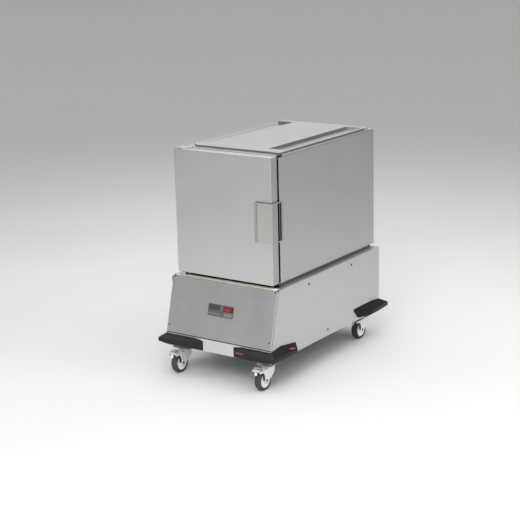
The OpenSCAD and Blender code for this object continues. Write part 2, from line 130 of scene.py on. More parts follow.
def lathe(bm, prof, T=ident, n=48, a0=0.0, a1=360.0, closed=False):
    """Turns the profile [(r, z)] about local Z. closed joins the profile's ends."""
    full = abs(a1 - a0 - 360) < 1e-6
    m = n if full else n + 1
    rings = []
    for r, z in prof:
        if r < 1e-6:
            rings.append([bm.verts.new(T(Vector((0, 0, z))))])
            continue
        ring = []
        for i in range(m):
            a = math.radians(a0 + (a1 - a0) * i / n)
            ring.append(bm.verts.new(T(Vector((r * math.cos(a), r * math.sin(a), z)))))
        rings.append(ring)
    pairs = list(zip(rings, rings[1:]))
    if closed:
        pairs.append((rings[-1], rings[0]))
    for a, b in pairs:
        for i in range(m if full else m - 1):
            j = (i + 1) % m
            p = [a[i % len(a)], a[j % len(a)], b[j % len(b)], b[i % len(b)]]
            q = []
            for v in p:
                if v not in q:
                    q.append(v)
            if len(q) >= 3:
                try:
                    bm.faces.new(q)
                except ValueError:
                    pass
    if not full:
        for i in (0, -1):
            vs = []
            for r in rings:
                v = r[i] if len(r) > 1 else r[0]
                if v not in vs:
                    vs.append(v)
            if len(vs) > 2:
                bm.faces.new(vs)


def round_poly(pts, r, n=5):
    """Rounds the corners of a closed 2D polygon. r is one radius or one for each corner."""
    out = []
    k = len(pts)
    for i in range(k):
        p, a, b = Vector(pts[i]).to_2d(), Vector(pts[i - 1]).to_2d(), Vector(pts[(i + 1) % k]).to_2d()
        rr = r[i] if isinstance(r, (list, tuple)) else r
        u, w = (a - p), (b - p)
        lu, lw = u.length, w.length
        if rr <= 0 or lu < 1e-9 or lw < 1e-9:
            out.append(tuple(p))
            continue
        u, w = u / lu, w / lw
        half = math.acos(max(-1, min(1, u.dot(w)))) / 2
        if half < 1e-3 or abs(half - math.pi / 2) < 1e-3:
            out.append(tuple(p))
            continue
        d = min(rr / math.tan(half), lu * 0.49, lw * 0.49)
        rad = d * math.tan(half)
        c = p + (u + w).normalized() * (rad / math.sin(half))
        s, e = p + u * d, p + w * d
        a0 = math.atan2(s.y - c.y, s.x - c.x)
        a1 = math.atan2(e.y - c.y, e.x - c.x)
        da = (a1 - a0 + math.pi) % (2 * math.pi) - math.pi
        for t in range(n + 1):
            a = a0 + da * t / n
            out.append((c.x + rad * math.cos(a), c.y + rad * math.sin(a)))
    return out


def rect(x0, y0, x1, y1, r=0, n=5):
    p = [(x0, y0), (x1, y0), (x1, y1), (x0, y1)]
    return round_poly(p, r, n) if r else p


def circle(x, y, r, n=24, a0=0):
    return [(x + r * math.cos(2 * math.pi * i / n + a0), y + r * math.sin(2 * math.pi * i / n + a0)) for i in range(n)]


def inside(p, poly):
    c = False
    for i in range(len(poly)):
        (x0, y0), (x1, y1) = poly[i - 1], poly[i]
        if (y0 > p[1]) != (y1 > p[1]) and p[0] < (x1 - x0) * (p[1] - y0) / (y1 - y0) + x0:
            c = not c
    return c


def flat(loops, keep):
    """Triangles of the plane region that keep(point) accepts, bounded by the loops: (points, faces)."""
    vs, es = [], []
    for l in loops:
        b = len(vs)
        vs += [Vector(p) for p in l]
        es += [(b + i, b + (i + 1) % len(l)) for i in range(len(l))]
    r = geometry.delaunay_2d_cdt(vs, es, [], 0, 1e-5)
    pts, faces = r[0], r[2]
    good = []
    for f in faces:
        c = sum((pts[i] for i in f), Vector((0, 0))) / len(f)
        if keep((c.x, c.y)):
            good.append(f)
    return pts, good


def plate(bm, outer, holes, z0, z1, T=ident):
    """A plate with holes: the outline extruded from z0 to z1 in local Z."""
    keep = lambda p: inside(p, outer) and not any(inside(p, h) for h in holes)
    pts, faces = flat([outer] + list(holes), keep)
    lo = [bm.verts.new(T(Vector((p.x, p.y, z0)))) for p in pts]
    hi = [bm.verts.new(T(Vector((p.x, p.y, z1)))) for p in pts]
    edges = {}
    new = []
    for f in faces:
        new.append(bm.faces.new([hi[i] for i in f]))
        new.append(bm.faces.new([lo[i] for i in reversed(f)]))
        for i in range(len(f)):
            a, b = f[i], f[(i + 1) % len(f)]
            if (b, a) in edges:
                edges.pop((b, a))
            else:
                edges[(a, b)] = 1
    for a, b in edges:
        bm.faces.new([lo[a], lo[b], hi[b], hi[a]])
    bmesh.ops.dissolve_limit(bm, angle_limit=math.radians(0.05), verts=[], edges=list({e for f in new for e in f.edges if len(e.link_faces) == 2 and all(g in new for g in e.link_faces)}), use_dissolve_boundaries=False, delimit=set())
    for v in lo + hi:
        if v.is_valid and not v.link_faces:
            bm.verts.remove(v)


def prism(bm, poly, a, b, T=ident):
    """A 2D polygon extruded from local z a to b, caps as ngons."""
    lo = [bm.verts.new(T(Vector((p[0], p[1], a)))) for p in poly]
    hi = [bm.verts.new(T(Vector((p[0], p[1], b)))) for p in poly]
    bm.faces.new(list(reversed(lo)))
    bm.faces.new(hi)
    for i in range(len(poly)):
        j = (i + 1) % len(poly)
        bm.faces.new([lo[i], lo[j], hi[j], hi[i]])


def bend_line(pts, t, r=None, n=4):
    """Closed outline of a bent sheet: pts is its outer polyline, t its thickness to the left of the walk."""
    P = [Vector(p).to_2d() for p in pts]
    inner = []
    for i in range(len(P)):
        if i == 0:
            d = (P[1] - P[0]).normalized()
            nrm = Vector((-d.y, d.x))
            inner.append(P[0] + nrm * t)
        elif i == len(P) - 1:
            d = (P[-1] - P[-2]).normalized()
            nrm = Vector((-d.y, d.x))
            inner.append(P[-1] + nrm * t)
        else:
            d0, d1 = (P[i] - P[i - 1]).normalized(), (P[i + 1] - P[i]).normalized()
            n0, n1 = Vector((-d0.y, d0.x)), Vector((-d1.y, d1.x))
            m = (n0 + n1).normalized()
            inner.append(P[i] + m * (t / max(0.2, m.dot(n0))))
    closed = [tuple(p) for p in P] + [tuple(p) for p in reversed(inner)]
    if r is None:
        return closed
    k = len(P)
    rad = []
    for i in range(k):
        if i in (0, k - 1):
            rad.append(0)
            continue
        d0, d1 = (P[i] - P[i - 1]), (P[i + 1] - P[i])
        left = d0.x * d1.y - d0.y * d1.x > 0
        rad.append(r + t if left else r)
    ri = []
    for i in reversed(range(k)):
        if i in (0, k - 1):
            ri.append(0)
            continue
        d0, d1 = (P[i] - P[i - 1]), (P[i + 1] - P[i])
        left = d0.x * d1.y - d0.y * d1.x > 0
        ri.append(r if left else r + t)
    return round_poly(closed, rad + ri, n)


def sweep(bm, path, prof, T=ident, up=(0, 0, 1), closed=False):
    """Sweeps a closed 2D profile (side, up) along a 3D path with mitred corners."""
    P = [Vector(p) for p in path]
    k = len(P)
    rings = []
    for i in range(k):
        if closed or 0 < i < k - 1:
            d0, d1 = (P[i] - P[i - 1]).normalized(), (P[(i + 1) % k] - P[i]).normalized()
        elif i == 0:
            d0 = d1 = (P[1] - P[0]).normalized()
        else:
            d0 = d1 = (P[-1] - P[-2]).normalized()
        d = (d0 + d1).normalized()
        u = Vector(up)
        u = (u - d * u.dot(d)).normalized()
        side = d.cross(u)
        stretch = 1 / max(0.3, d.dot(d0))
        s0 = d0.cross(Vector(up))
        inplane = side.dot(s0.normalized()) if s0.length > 1e-6 else 1
        ring = []
        for a, b in prof:
            ring.append(bm.verts.new(T(P[i] + side * (a * (stretch if inplane < 0.9999 else 1)) + u * b)))
        rings.append(ring)
    m = len(prof)
    for i in range(k if closed else k - 1):
        A, B = rings[i], rings[(i + 1) % k]
        for q in range(m):
            w = (q + 1) % m
            bm.faces.new([A[q], A[w], B[w], B[q]])
    if not closed:
        bm.faces.new(list(reversed(rings[0])))
        bm.faces.new(rings[-1])


def tube(bm, path, r, T=ident, n=20, closed=False):
    """A round bar along a 3D path, with a frame carried along it."""
    P = [Vector(p) for p in path]
    k = len(P)
    d = (P[1] - P[0]).normalized()
    u = Vector((0, 0, 1)) if abs(d.z) < 0.9 else Vector((1, 0, 0))
    rings = []
    for i in range(k):
        if 0 < i < k - 1:
            d = ((P[i] - P[i - 1]).normalized() + (P[i + 1] - P[i]).normalized()).normalized()
        elif i == 0:
            d = (P[1] - P[0]).normalized()
        else:
            d = (P[-1] - P[-2]).normalized()
        u = (u - d * u.dot(d)).normalized()
        s = d.cross(u)
        rings.append([bm.verts.new(T(P[i] + (s * math.cos(2 * math.pi * q / n) + u * math.sin(2 * math.pi * q / n)) * r)) for q in range(n)])
    for A, B in zip(rings, rings[1:]):
        for q in range(n):
            w = (q + 1) % n
            bm.faces.new([A[q], A[w], B[w], B[q]])
    bm.faces.new(list(reversed(rings[0])))
    bm.faces.new(rings[-1])


def arc3(c, a, b, r, t0, t1, n=8):
    """Points of an arc about c in the plane of the unit vectors a and b."""
    c, a, b = Vector(c), Vector(a), Vector(b)
    return [c + a * (r * math.cos(math.radians(t0 + (t1 - t0) * i / n))) + b * (r * math.sin(math.radians(t0 + (t1 - t0) * i / n))) for i in range(n + 1)]


def hexagon(r, a0=0):
    return circle(0, 0, r, 6, a0)


# ---------------------------------------------------------------- materials
class Mat:
    """A small builder for node materials in object coordinates (metres)."""

    def __init__(self, name):
        self.m = bpy.data.materials.new(name)
        self.m.use_nodes = True
        self.t = self.m.node_tree
        self.b = next(n for n in self.t.nodes if n.type == "BSDF_PRINCIPLED")
        self.co = self.t.nodes.new("ShaderNodeTexCoord").outputs["Object"]

    def node(self, kind, **vals):
        n = self.t.nodes.new(kind)
        for k, v in vals.items():
            if k in n.inputs.keys():
                if hasattr(v, "is_output"):
                    self.t.links.new(v, n.inputs[k])
                else:
                    n.inputs[k].default_value = v
            else:
                setattr(n, k, v)
        return n

    def wire(self, out, sock):
        self.t.links.new(out, sock)

    def mapping(self, scale=(1, 1, 1), rot=(0, 0, 0), loc=(0, 0, 0)):
        n = self.t.nodes.new("ShaderNodeMapping")
        n.inputs["Scale"].default_value = scale
        n.inputs["Rotation"].default_value = rot
        n.inputs["Location"].default_value = loc
        self.wire(self.co, n.inputs["Vector"])
        return n.outputs[0]

    def noise(self, scale, detail=2.0, rough=0.5, vec=None, dist=0.0):
        n = self.t.nodes.new("ShaderNodeTexNoise")
        n.inputs["Scale"].default_value = scale
        n.inputs["Detail"].default_value = detail
        n.inputs["Roughness"].default_value = rough
        n.inputs["Distortion"].default_value = dist
        self.wire(vec or self.co, n.inputs["Vector"])
        return n.outputs["Fac"]

    def voronoi(self, scale, vec=None, feature="F1", out="Distance"):
        n = self.t.nodes.new("ShaderNodeTexVoronoi")
        n.feature = feature
        n.inputs["Scale"].default_value = scale
        self.wire(vec or self.co, n.inputs["Vector"])
        return n.outputs[out]

    def ramp(self, fac, stops, interp="LINEAR"):
        n = self.t.nodes.new("ShaderNodeValToRGB")
        n.color_ramp.interpolation = interp
        e = n.color_ramp.elements
        while len(e) > len(stops):
            e.remove(e[-1])
        while len(e) < len(stops):
            e.new(1)
        for el, (p, c) in zip(e, stops):
            el.position = p
            el.color = (c, c, c, 1) if not isinstance(c, (tuple, list)) else (*c[:3], 1)
        self.wire(fac, n.inputs[0])
        return n.outputs[0]

    def math(self, op, a, b=None, clamp=False):
        n = self.t.nodes.new("ShaderNodeMath")
        n.operation = op
        n.use_clamp = clamp
        for i, v in enumerate((a, b)):
            if v is None:
                continue
            if hasattr(v, "is_output"):
                self.wire(v, n.inputs[i])
            else:
                n.inputs[i].default_value = v
        return n.outputs[0]

    def rng(self, v, a, b, lo=0.0, hi=1.0):
        n = self.t.nodes.new("ShaderNodeMapRange")
        n.inputs["From Min"].default_value = lo
        n.inputs["From Max"].default_value = hi
        n.inputs["To Min"].default_value = a
        n.inputs["To Max"].default_value = b
        self.wire(v, n.inputs["Value"])
        return n.outputs[0]

    def mix(self, fac, a, b, mode="MIX"):
        n = self.t.nodes.new("ShaderNodeMix")
        n.data_type = "RGBA"
        n.blend_type = mode
        ins = [i for i in n.inputs if i.type == "RGBA"]
        f = [i for i in n.inputs if i.type == "VALUE"][0]
        for s, v in ((f, fac), (ins[0], a), (ins[1], b)):
            if hasattr(v, "is_output"):
                self.wire(v, s)
            elif isinstance(v, (tuple, list)):
                s.default_value = (*v[:3], 1)
            else:
                s.default_value = v
        return [o for o in n.outputs if o.type == "RGBA"][0]

    def edge(self, radius=0.0012, samples=4):
        """1 on edges, 0 on flats."""
        bev = self.t.nodes.new("ShaderNodeBevel")
        bev.samples = samples
        bev.inputs["Radius"].default_value = radius
        geo = self.t.nodes.new("ShaderNodeNewGeometry")
        dot = self.t.nodes.new("ShaderNodeVectorMath")
        dot.operation = "DOT_PRODUCT"
        self.wire(bev.outputs[0], dot.inputs[0])
        self.wire(geo.outputs["Normal"], dot.inputs[1])
        return self.rng(dot.outputs["Value"], 1.0, 0.0, 0.80, 0.995)

    def bump(self, height, strength, distance=0.001, normal=None):
        n = self.t.nodes.new("ShaderNodeBump")
        n.inputs["Strength"].default_value = strength
        n.inputs["Distance"].default_value = distance
        self.wire(height, n.inputs["Height"])
        if normal is not None:
            self.wire(normal, n.inputs["Normal"])
        return n.outputs[0]

    def out(self, color=None, rough=None, normal=None, **const):
        b = self.b
        for sock, v in (("Base Color", color), ("Roughness", rough), ("Normal", normal)):
            if v is None:
                continue
            if hasattr(v, "is_output"):
                self.wire(v, b.inputs[sock])
            elif isinstance(v, (tuple, list)):
                b.inputs[sock].default_value = (*v[:3], 1)
            else:
                b.inputs[sock].default_value = v
        for k, v in const.items():
            b.inputs[k.replace("_", " ")].default_value = v
        return self.m


def lin(r, g=None, b=None):
    """8-bit display grey or colour to linear."""
    f = lambda c: (c / 255 / 12.92) if c / 255 <= 0.04045 else ((c / 255 + 0.055) / 1.055) ** 2.4
    if g is None:
        g = b = r
    return (f(r), f(g), f(b))


def steel(name, tint, rough=0.38, grain=(6, 6, 1400), metallic=1.0, wear=0.25, smear=0.05, aniso=0.0, coarse=5.0):
    """Satin stainless sheet: fine ground grain, cloudy sheen, handling smears and brighter rubbed edges."""
    m = Mat(name)
    fine = m.noise(1.0, 3.0, 0.6, m.mapping(grain))
    fine2 = m.noise(1.0, 2.0, 0.5, m.mapping(tuple(g * 0.37 for g in grain), loc=(3.1, 1.7, 0.4)))
    cloud = m.noise(coarse, 3.0, 0.55)
    blot = m.noise(17.0, 4.0, 0.65, dist=0.4)
    base = m.mix(m.rng(cloud, 0.0, 1.0, 0.3, 0.7), tuple(c * 0.985 for c in tint), tuple(min(1, c * 1.015) for c in tint))
    base = m.mix(m.rng(fine, 0.0, 0.22, 0.35, 0.75), base, tuple(c * 0.88 for c in tint))
    e = m.edge(0.0011)
    base = m.mix(m.math("MULTIPLY", e, wear), base, tuple(min(1, c * 1.18 + 0.03) for c in tint))
    r = m.math("ADD", m.rng(cloud, rough - 0.015, rough + 0.02, 0.3, 0.7), m.rng(fine2, -0.02, 0.025, 0.3, 0.7))
    r = m.math("ADD", r, m.rng(blot, 0.0, smear, 0.52, 0.72))
    nrm = m.bump(m.math("ADD", fine, m.math("MULTIPLY", fine2, 0.6)), 0.035, 0.0004)
    return m.out(base, r, nrm, Metallic=metallic, Anisotropic=aniso)


def rubber(name, col, rough=0.62, scale=900, wear=(0.35, (0.11, 0.11, 0.115)), bump=0.25, coarse=9.0, spec=0.45):
    """Moulded rubber or foamed polymer: pebbled skin, dusty scuffs and paler rubbed edges."""
    m = Mat(name)
    peb = m.voronoi(scale)
    gr = m.noise(scale * 0.35, 3.0, 0.6)
    cl = m.noise(coarse, 4.0, 0.6, dist=0.3)
    sc = m.noise(1.0, 4.0, 0.7, m.mapping((60, 60, 260)))
    base = m.mix(m.rng(cl, 0.0, 1.0, 0.35, 0.7), tuple(c * 0.85 for c in col), tuple(c * 1.18 for c in col))
    base = m.mix(m.rng(sc, 0.0, 0.35, 0.58, 0.75), base, tuple(c * 1.7 + 0.006 for c in col))
    e = m.edge(0.0018)
    base = m.mix(m.math("MULTIPLY", e, wear[0]), base, wear[1])
    r = m.math("ADD", m.rng(cl, rough - 0.06, rough + 0.08, 0.3, 0.7), m.rng(sc, 0.0, 0.08, 0.5, 0.8))
    nrm = m.bump(m.math("ADD", peb, m.math("MULTIPLY", gr, 0.8)), bump, 0.0004)
    return m.out(base, r, nrm, Metallic=0.0, Specular_IOR_Level=spec)


def plastic(name, col, rough=0.45, scale=1500, bump=0.12, wear=0.3, spec=0.5, coarse=12.0, light=1.35):
    """Moulded plastic: fine spark-eroded texture, slight mottling and polished edges."""
    m = Mat(name)
    gr = m.noise(scale, 3.0, 0.6)
    cl = m.noise(coarse, 3.0, 0.5)
    base = m.mix(m.rng(cl, 0.0, 1.0, 0.3, 0.7), tuple(c * 0.94 for c in col), tuple(min(1, c * 1.05) for c in col))
    base = m.mix(m.rng(gr, 0.0, 0.12, 0.5, 0.8), base, tuple(c * 0.8 for c in col))
    e = m.edge(0.001)
    base = m.mix(m.math("MULTIPLY", e, wear), base, tuple(min(1, c * light + 0.01) for c in col))
    r = m.rng(cl, rough - 0.05, rough + 0.06, 0.3, 0.7)
    nrm = m.bump(gr, bump, 0.0003)
    return m.out(base, r, nrm, Metallic=0.0, Specular_IOR_Level=spec)


M = {}
M["door"] = steel("satin_steel_door", lin(216, 215, 214), 0.40, smear=0.03)
M["cab"] = steel("satin_steel_cabinet", lin(194, 193, 192), 0.40, smear=0.03)
M["roof"] = steel("satin_steel_roof", lin(201, 199, 198), 0.42, grain=(1400, 6, 6))
M["base"] = steel("satin_steel_base", lin(204, 203, 202), 0.42, grain=(6, 6, 1400))
M["slope"] = steel("satin_steel_sloping_panel", lin(202, 201, 200), 0.42, grain=(6, 1400, 1400))
M["apron"] = steel("satin_steel_apron", lin(228, 227, 226), 0.50)
# darker copy of the roof steel for the left ramp: painted shade
M["roofedge"] = steel("roof_ramp_painted_shade", lin(172, 170, 169), 0.5, grain=(1400, 6, 6))
# darker copy of the roof steel for the walls and skirts: painted shade
M["roofwall"] = steel("roof_walls_painted_shade", lin(138, 137, 136), 0.5, grain=(1400, 6, 6), wear=0.1)
# darker copy of the handle steel for its sloped left band: painted shade
M["handle_band"] = steel("handle_slope_painted_shade", lin(176, 174, 172), 0.42, smear=0.1)
# darker copy of the sheet steel for the folds and the joint under the roof's rim: painted shade that tones down their
# light
M["fold"] = steel("fold_steel_painted_shade", lin(178, 177, 176), 0.45, grain=(6, 1400, 1400))
# darker copy of the deck steel for the deck sheet in the recess: painted shade
M["deck_back"] = steel("deck_back_painted_shade", lin(180, 179, 178), 0.5)
# darker copy of the door steel for the door's side faces: painted shade
M["door_side"] = steel("door_flank_painted_shade", lin(184, 183, 182), 0.40, smear=0.03)
# darker copy of the handle steel for its side flange: painted shade
M["handle_side"] = steel("handle_flank_painted_shade", lin(178, 176, 174), 0.38, smear=0.08)
M["panel_screw"] = steel("panel_screw_steel", lin(56, 55, 54), 0.45, grain=(900, 900, 900), wear=0.3)
# whiter, nearly non-metal copy of the deck steel for the deck's front strip: painted light
M["deck"] = steel("deck_front_painted_light", lin(230, 230, 229), 0.5, metallic=0.05)
M["liner"] = steel("liner_steel", lin(206, 205, 203), 0.30, smear=0.08)
M["rack"] = steel("rack_steel", lin(205, 204, 203), 0.27, grain=(1000, 6, 6), smear=0.08)
# dark steel for the neck ring in the recess: painted shade
M["neck"] = steel("neck_ring_painted_shade", lin(124, 123, 122), 0.5)
M["handle"] = steel("handle_steel", lin(208, 206, 204), 0.36, smear=0.12)
M["bracket"] = steel("bracket_steel", lin(214, 213, 211), 0.35)
M["tube"] = steel("tube_steel", lin(210, 209, 208), 0.22, grain=(6, 900, 900), smear=0.12)
M["zinc"] = steel("zinc_plated_steel", lin(238, 238, 239), 0.46, metallic=0.3, grain=(180, 180, 180), wear=0.5, smear=0.1, coarse=40)
M["screw"] = steel("screw_steel", lin(120, 119, 118), 0.38, grain=(900, 900, 900), wear=0.6)
M["heat"] = steel("heater_sheath", lin(150, 138, 126), 0.45, grain=(300, 300, 300), coarse=60)
M["fanal"] = steel("fan_aluminium_sheet", lin(205, 206, 208), 0.36, grain=(400, 400, 400))
M["greycase"] = plastic("grey_painted_case", lin(98, 101, 105), 0.5, 700)
M["pan"] = steel("chassis_sheet", lin(150, 149, 148), 0.5, grain=(6, 900, 900), metallic=1.0)
# paler creases on the bumpers: rubbed wear, and also a painted highlight along the creases
M["bumper"] = rubber("moulded_bumper", lin(39, 39, 40), 0.46, 700, wear=(0.5, lin(78, 78, 79)), bump=0.18, spec=0.2)
# darker copy of the bumper rubber for facets turned from the light: painted shade
M["bumper_end"] = rubber("moulded_bumper_end", lin(24, 24, 25), 0.45, 700, wear=(0.4, lin(54, 54, 55)), bump=0.18, spec=0.15)
M["seal"] = rubber("seal_rubber", lin(20, 20, 21), 0.6, 1200)
# near-black rubber: the door's real seal, and the dark strips in the gaps, which are painted shadow
M["gap"] = rubber("seal_black_and_gap_shade", lin(3, 3, 3), 0.95, 1200)
M["tyre"] = rubber("tyre_rubber", lin(66, 63, 64), 0.7, 1100, wear=(0.4, lin(120, 117, 117)))
M["keeper"] = plastic("keeper_dark", lin(52, 52, 54), 0.5)
M["hub"] = plastic("wheel_plastic", lin(244, 244, 243), 0.42, wear=0.1, light=1.0)
M["fascia"] = plastic("fascia_plastic", lin(90, 91, 92), 0.42)
M["key"] = plastic("key_plastic", lin(136, 137, 138), 0.5)
M["black"] = plastic("black_plastic", lin(30, 30, 31), 0.45)
M["white"] = plastic("bush_plastic", lin(226, 226, 222), 0.4, wear=0.1, light=1.0)
M["foam"] = rubber("rigid_foam", lin(222, 210, 168), 0.9, 1600, wear=(0.2, lin(235, 225, 190)), bump=0.6, spec=0.2)


def emissive(name, col, strength, base):
    m = Mat(name)
    gr = m.noise(900, 2.0, 0.5)
    c = m.mix(m.rng(gr, 0.0, 0.15, 0.4, 0.8), base, tuple(x * 0.7 for x in base))
    m.b.inputs["Emission Color"].default_value = (*col, 1)
    m.b.inputs["Emission Strength"].default_value = strength
    return m.out(c, m.rng(gr, 0.22, 0.3, 0.3, 0.7), None, Metallic=0.0)


M["lens"] = emissive("display_window", lin(120, 20, 10), 0.12, lin(66, 30, 26))
M["digit"] = emissive("display_digits", (1.0, 0.13, 0.04), 0.5, lin(190, 60, 36))
M["orange"] = plastic("printed_orange", lin(184, 72, 36), 0.5, 900, light=1.1)
# grey of the fascia marks, also used on the door's hem, where it paints the shade at the seam
M["mark"] = plastic("printed_grey_and_seam_shade", lin(132, 133, 134), 0.5, 900, light=1.1)
M["mark2"] = plastic("printed_mid_grey", lin(112, 113, 114), 0.5, 900, light=1.1)
M["zinc2"] = steel("pedal_zinc_steel", lin(236, 237, 238), 0.40, metallic=0.6, grain=(180, 180, 180), wear=0.6, smear=0.14, coarse=60)
M["darkwin"] = plastic("printed_dark", lin(62, 63, 64), 0.35, 900)
M["board"] = plastic("circuit_board", lin(28, 92, 60), 0.4, 700)
M["copper"] = steel("copper_winding", lin(196, 120, 70), 0.35, grain=(8, 8, 1800))


# ------------------------------------------------------- more shape helpers
def loft(bm, loops, cap0=True, cap1=True, ring=False):
    """Joins closed loops of 3D points that have the same number of points."""
    R = [[bm.verts.new(p) for p in l] for l in loops]
    k = len(R[0])
    pairs = list(zip(R, R[1:]))
    if ring:
        pairs.append((R[-1], R[0]))
    for A, B in pairs:
        for i in range(k):
            j = (i + 1) % k
            bm.faces.new([A[i], A[j], B[j], B[i]])
    if not ring:
        if cap0:
            bm.faces.new(list(reversed(R[0])))
        if cap1:
            bm.faces.new(R[-1])


def frame_loft(bm, prof, x0, z0, x1, z1, r, n=6, ring=True):
    """A picture frame in the XZ plane: prof holds (growth outwards, y)."""
    loops = []
    for o, y in prof:
        q = rect(x0 - o, z0 - o, x1 + o, z1 + o, max(0.6, r + o), n)
        loops.append([Vector((p[0], y, p[1])) for p in q])
    loft(bm, loops, ring=ring, cap0=not ring, cap1=not ring)


def round_line(pts, r, n=4):
    """Rounds the inner corners of an open 2D line."""
    P = [Vector(p).to_2d() for p in pts]
    out = [tuple(P[0])]
    for i in range(1, len(P) - 1):
        p, a, b = P[i], P[i - 1], P[i + 1]
        u, w = (a - p).normalized(), (b - p).normalized()
        half = math.acos(max(-1, min(1, u.dot(w)))) / 2
        if abs(half - math.pi / 2) < 1e-3:
            out.append(tuple(p))
            continue
        rr = r[i] if isinstance(r, (list, tuple)) else r
        d = min(rr / math.tan(half), (a - p).length * 0.48, (b - p).length * 0.48)
        rad = d * math.tan(half)
        c = p + (u + w).normalized() * (rad / math.sin(half))
        s, e = p + u * d, p + w * d
        a0 = math.atan2(s.y - c.y, s.x - c.x)
        a1 = math.atan2(e.y - c.y, e.x - c.x)
        da = (a1 - a0 + math.pi) % (2 * math.pi) - math.pi
        for t in range(n + 1):
            a = a0 + da * t / n
            out.append((c.x + rad * math.cos(a), c.y + rad * math.sin(a)))
    out.append(tuple(P[-1]))
    return out


def line_len(path):
    s = [0.0]
    for a, b in zip(path, path[1:]):
        s.append(s[-1] + math.hypot(b[0] - a[0], b[1] - a[1]))
    return s


def bent(bm, path, t, outline, holes=(), T=ident):
    """A folded sheet: path is its open 2D line, outline and holes are (length along it, w); t to the left."""
    s = line_len(path)
    k = len(path)
    nr = []
    for i in range(k):
        d = []
        if i > 0:
            d.append((Vector(path[i]) - Vector(path[i - 1])).normalized())
        if i < k - 1:
            d.append((Vector(path[i + 1]) - Vector(path[i])).normalized())
        ns = [Vector((-q.y, q.x)) for q in d]
        m = sum(ns, Vector((0, 0))).normalized()
        nr.append(m / max(0.3, m.dot(ns[0])))
    vs, es = [], []
    for l in [outline] + list(holes):
        b = len(vs)
        vs += [Vector(p) for p in l]
        es += [(b + i, b + (i + 1) % len(l)) for i in range(len(l))]
    w0 = min(p[1] for p in outline) - 1
    w1 = max(p[1] for p in outline) + 1
    for i in range(1, k - 1):
        b = len(vs)
        vs += [Vector((s[i], w0)), Vector((s[i], w1))]
        es.append((b, b + 1))
    r = geometry.delaunay_2d_cdt(vs, es, [], 0, 1e-5)
    pts, faces = r[0], r[2]
    good = []
    for f in faces:
        c = sum((pts[i] for i in f), Vector((0, 0))) / len(f)
        if inside(c, outline) and not any(inside(c, h) for h in holes):
            good.append(f)

    def at(p, off):
        x = min(max(p.x, 0.0), s[-1])
        for i in range(k - 1):
            if x <= s[i + 1] + 1e-7:
                break
        h = s[i + 1] - s[i]
        f = (x - s[i]) / h if h > 1e-9 else 0
        q = Vector(path[i]).lerp(Vector(path[i + 1]), f)
        if f < 1e-4:
            n = nr[i]
        elif f > 1 - 1e-4:
            n = nr[i + 1]
        else:
            d = (Vector(path[i + 1]) - Vector(path[i])).normalized()
            n = Vector((-d.y, d.x))
        return T(Vector((q.x + n.x * off, q.y + n.y * off, p.y)))
    use = sorted({i for f in good for i in f})
    A = {i: bm.verts.new(at(pts[i], 0)) for i in use}
    B = {i: bm.verts.new(at(pts[i], t)) for i in use}
    edge = {}
    new = []
    for f in good:
        new.append(bm.faces.new([A[i] for i in f]))
        new.append(bm.faces.new([B[i] for i in reversed(f)]))
        for a, b in zip(f, list(f[1:]) + [f[0]]):
            if (b, a) in edge:
                edge.pop((b, a))
            else:
                edge[(a, b)] = 1
    for a, b in edge:
        bm.faces.new([A[a], A[b], B[b], B[a]])
    ns = set(new)
    for v in bm.verts:      # the rim beside the right wall lies a little lower
        if v.co.x > 338 and v.co.y > 100 and abs(v.co.z - RIM) < 0.1:
            v.co.z -= 3.5
    bmesh.ops.dissolve_limit(bm, angle_limit=math.radians(0.05), verts=[], edges=list({e for f in new for e in f.edges if len(e.link_faces) == 2 and all(g in ns for g in e.link_faces)}), use_dissolve_boundaries=False, delimit=set())


def slot_poly(x0, y0, x1, y1, n=6):
    """A slot with round ends along its longer side."""
    r = min(abs(x1 - x0), abs(y1 - y0)) * 0.499
    return rect(x0, y0, x1, y1, r, n)


HW, BW, FY, CZ0, DZ1 = 354.0, 390.0, 84.0, 630.0, 1400.0
ROOF, RIM, PLAT = 1388.0, 1401.0, 1412.0
CAVX, CAVZ0, CAVZ1, CAVY1 = 314.0, 670.0, 1348.0, 1167.0
YB, YA, DECK, SKIRT, CABD = 1210.0, -90.0, 606.0, 173.0, 1207.0
GZ0, GZ1 = 889.0, 1131.0
C15, S15 = math.cos(math.radians(15)), math.sin(math.radians(15))
XYZ = lambda p: Vector(p)
YZX = lambda p: Vector((p[2], p[0], p[1]))       # plane (y, z), run along x
XZY = lambda p: Vector((p[0], p[2], p[1]))       # plane (x, z), run along y


def SL(p):
    """Sloping front panel: x, up the slope, outwards."""
    return Vector((p[0], -5 + p[1] * S15 - p[2] * C15, DECK + p[1] * C15 + p[2] * S15))


def slope_y(z):
    return -5 - (DECK - z) * math.tan(math.radians(15))


# --------------------------------------------------------------------- door
bm = bmesh.new()
outer = rect(-HW, 0, HW, 60.5, 3.2, 5)
plate(bm, outer, [circle(-342, 30, 10, 28)], CZ0 + 2, DZ1)
bm.normal_update()
# the pan's side faces take the darker door-side copy: painted shade
for f in bm.faces:
    if abs(f.normal.x) > 0.9 and abs(f.calc_center_median().x) > 350:
        f.material_index = 1
put("door_pan", bm, "door", M["door"], "door_skin", bevel=1.6, segs=3, mats=[M["door"], M["door_side"]])

bm = bmesh.new()      # turned-in edge of the pan, a fine mid-grey line before the inner panel: painted shade at the seam
frame_loft(bm, [(-4, 59.5), (-1.2, 59.5), (-0.8, 60.2), (-1.2, 61.2), (-4, 61.2)], -HW, CZ0, HW, DZ1, 3)
put("door_hem", bm, "door", M["mark"], bevel=0)

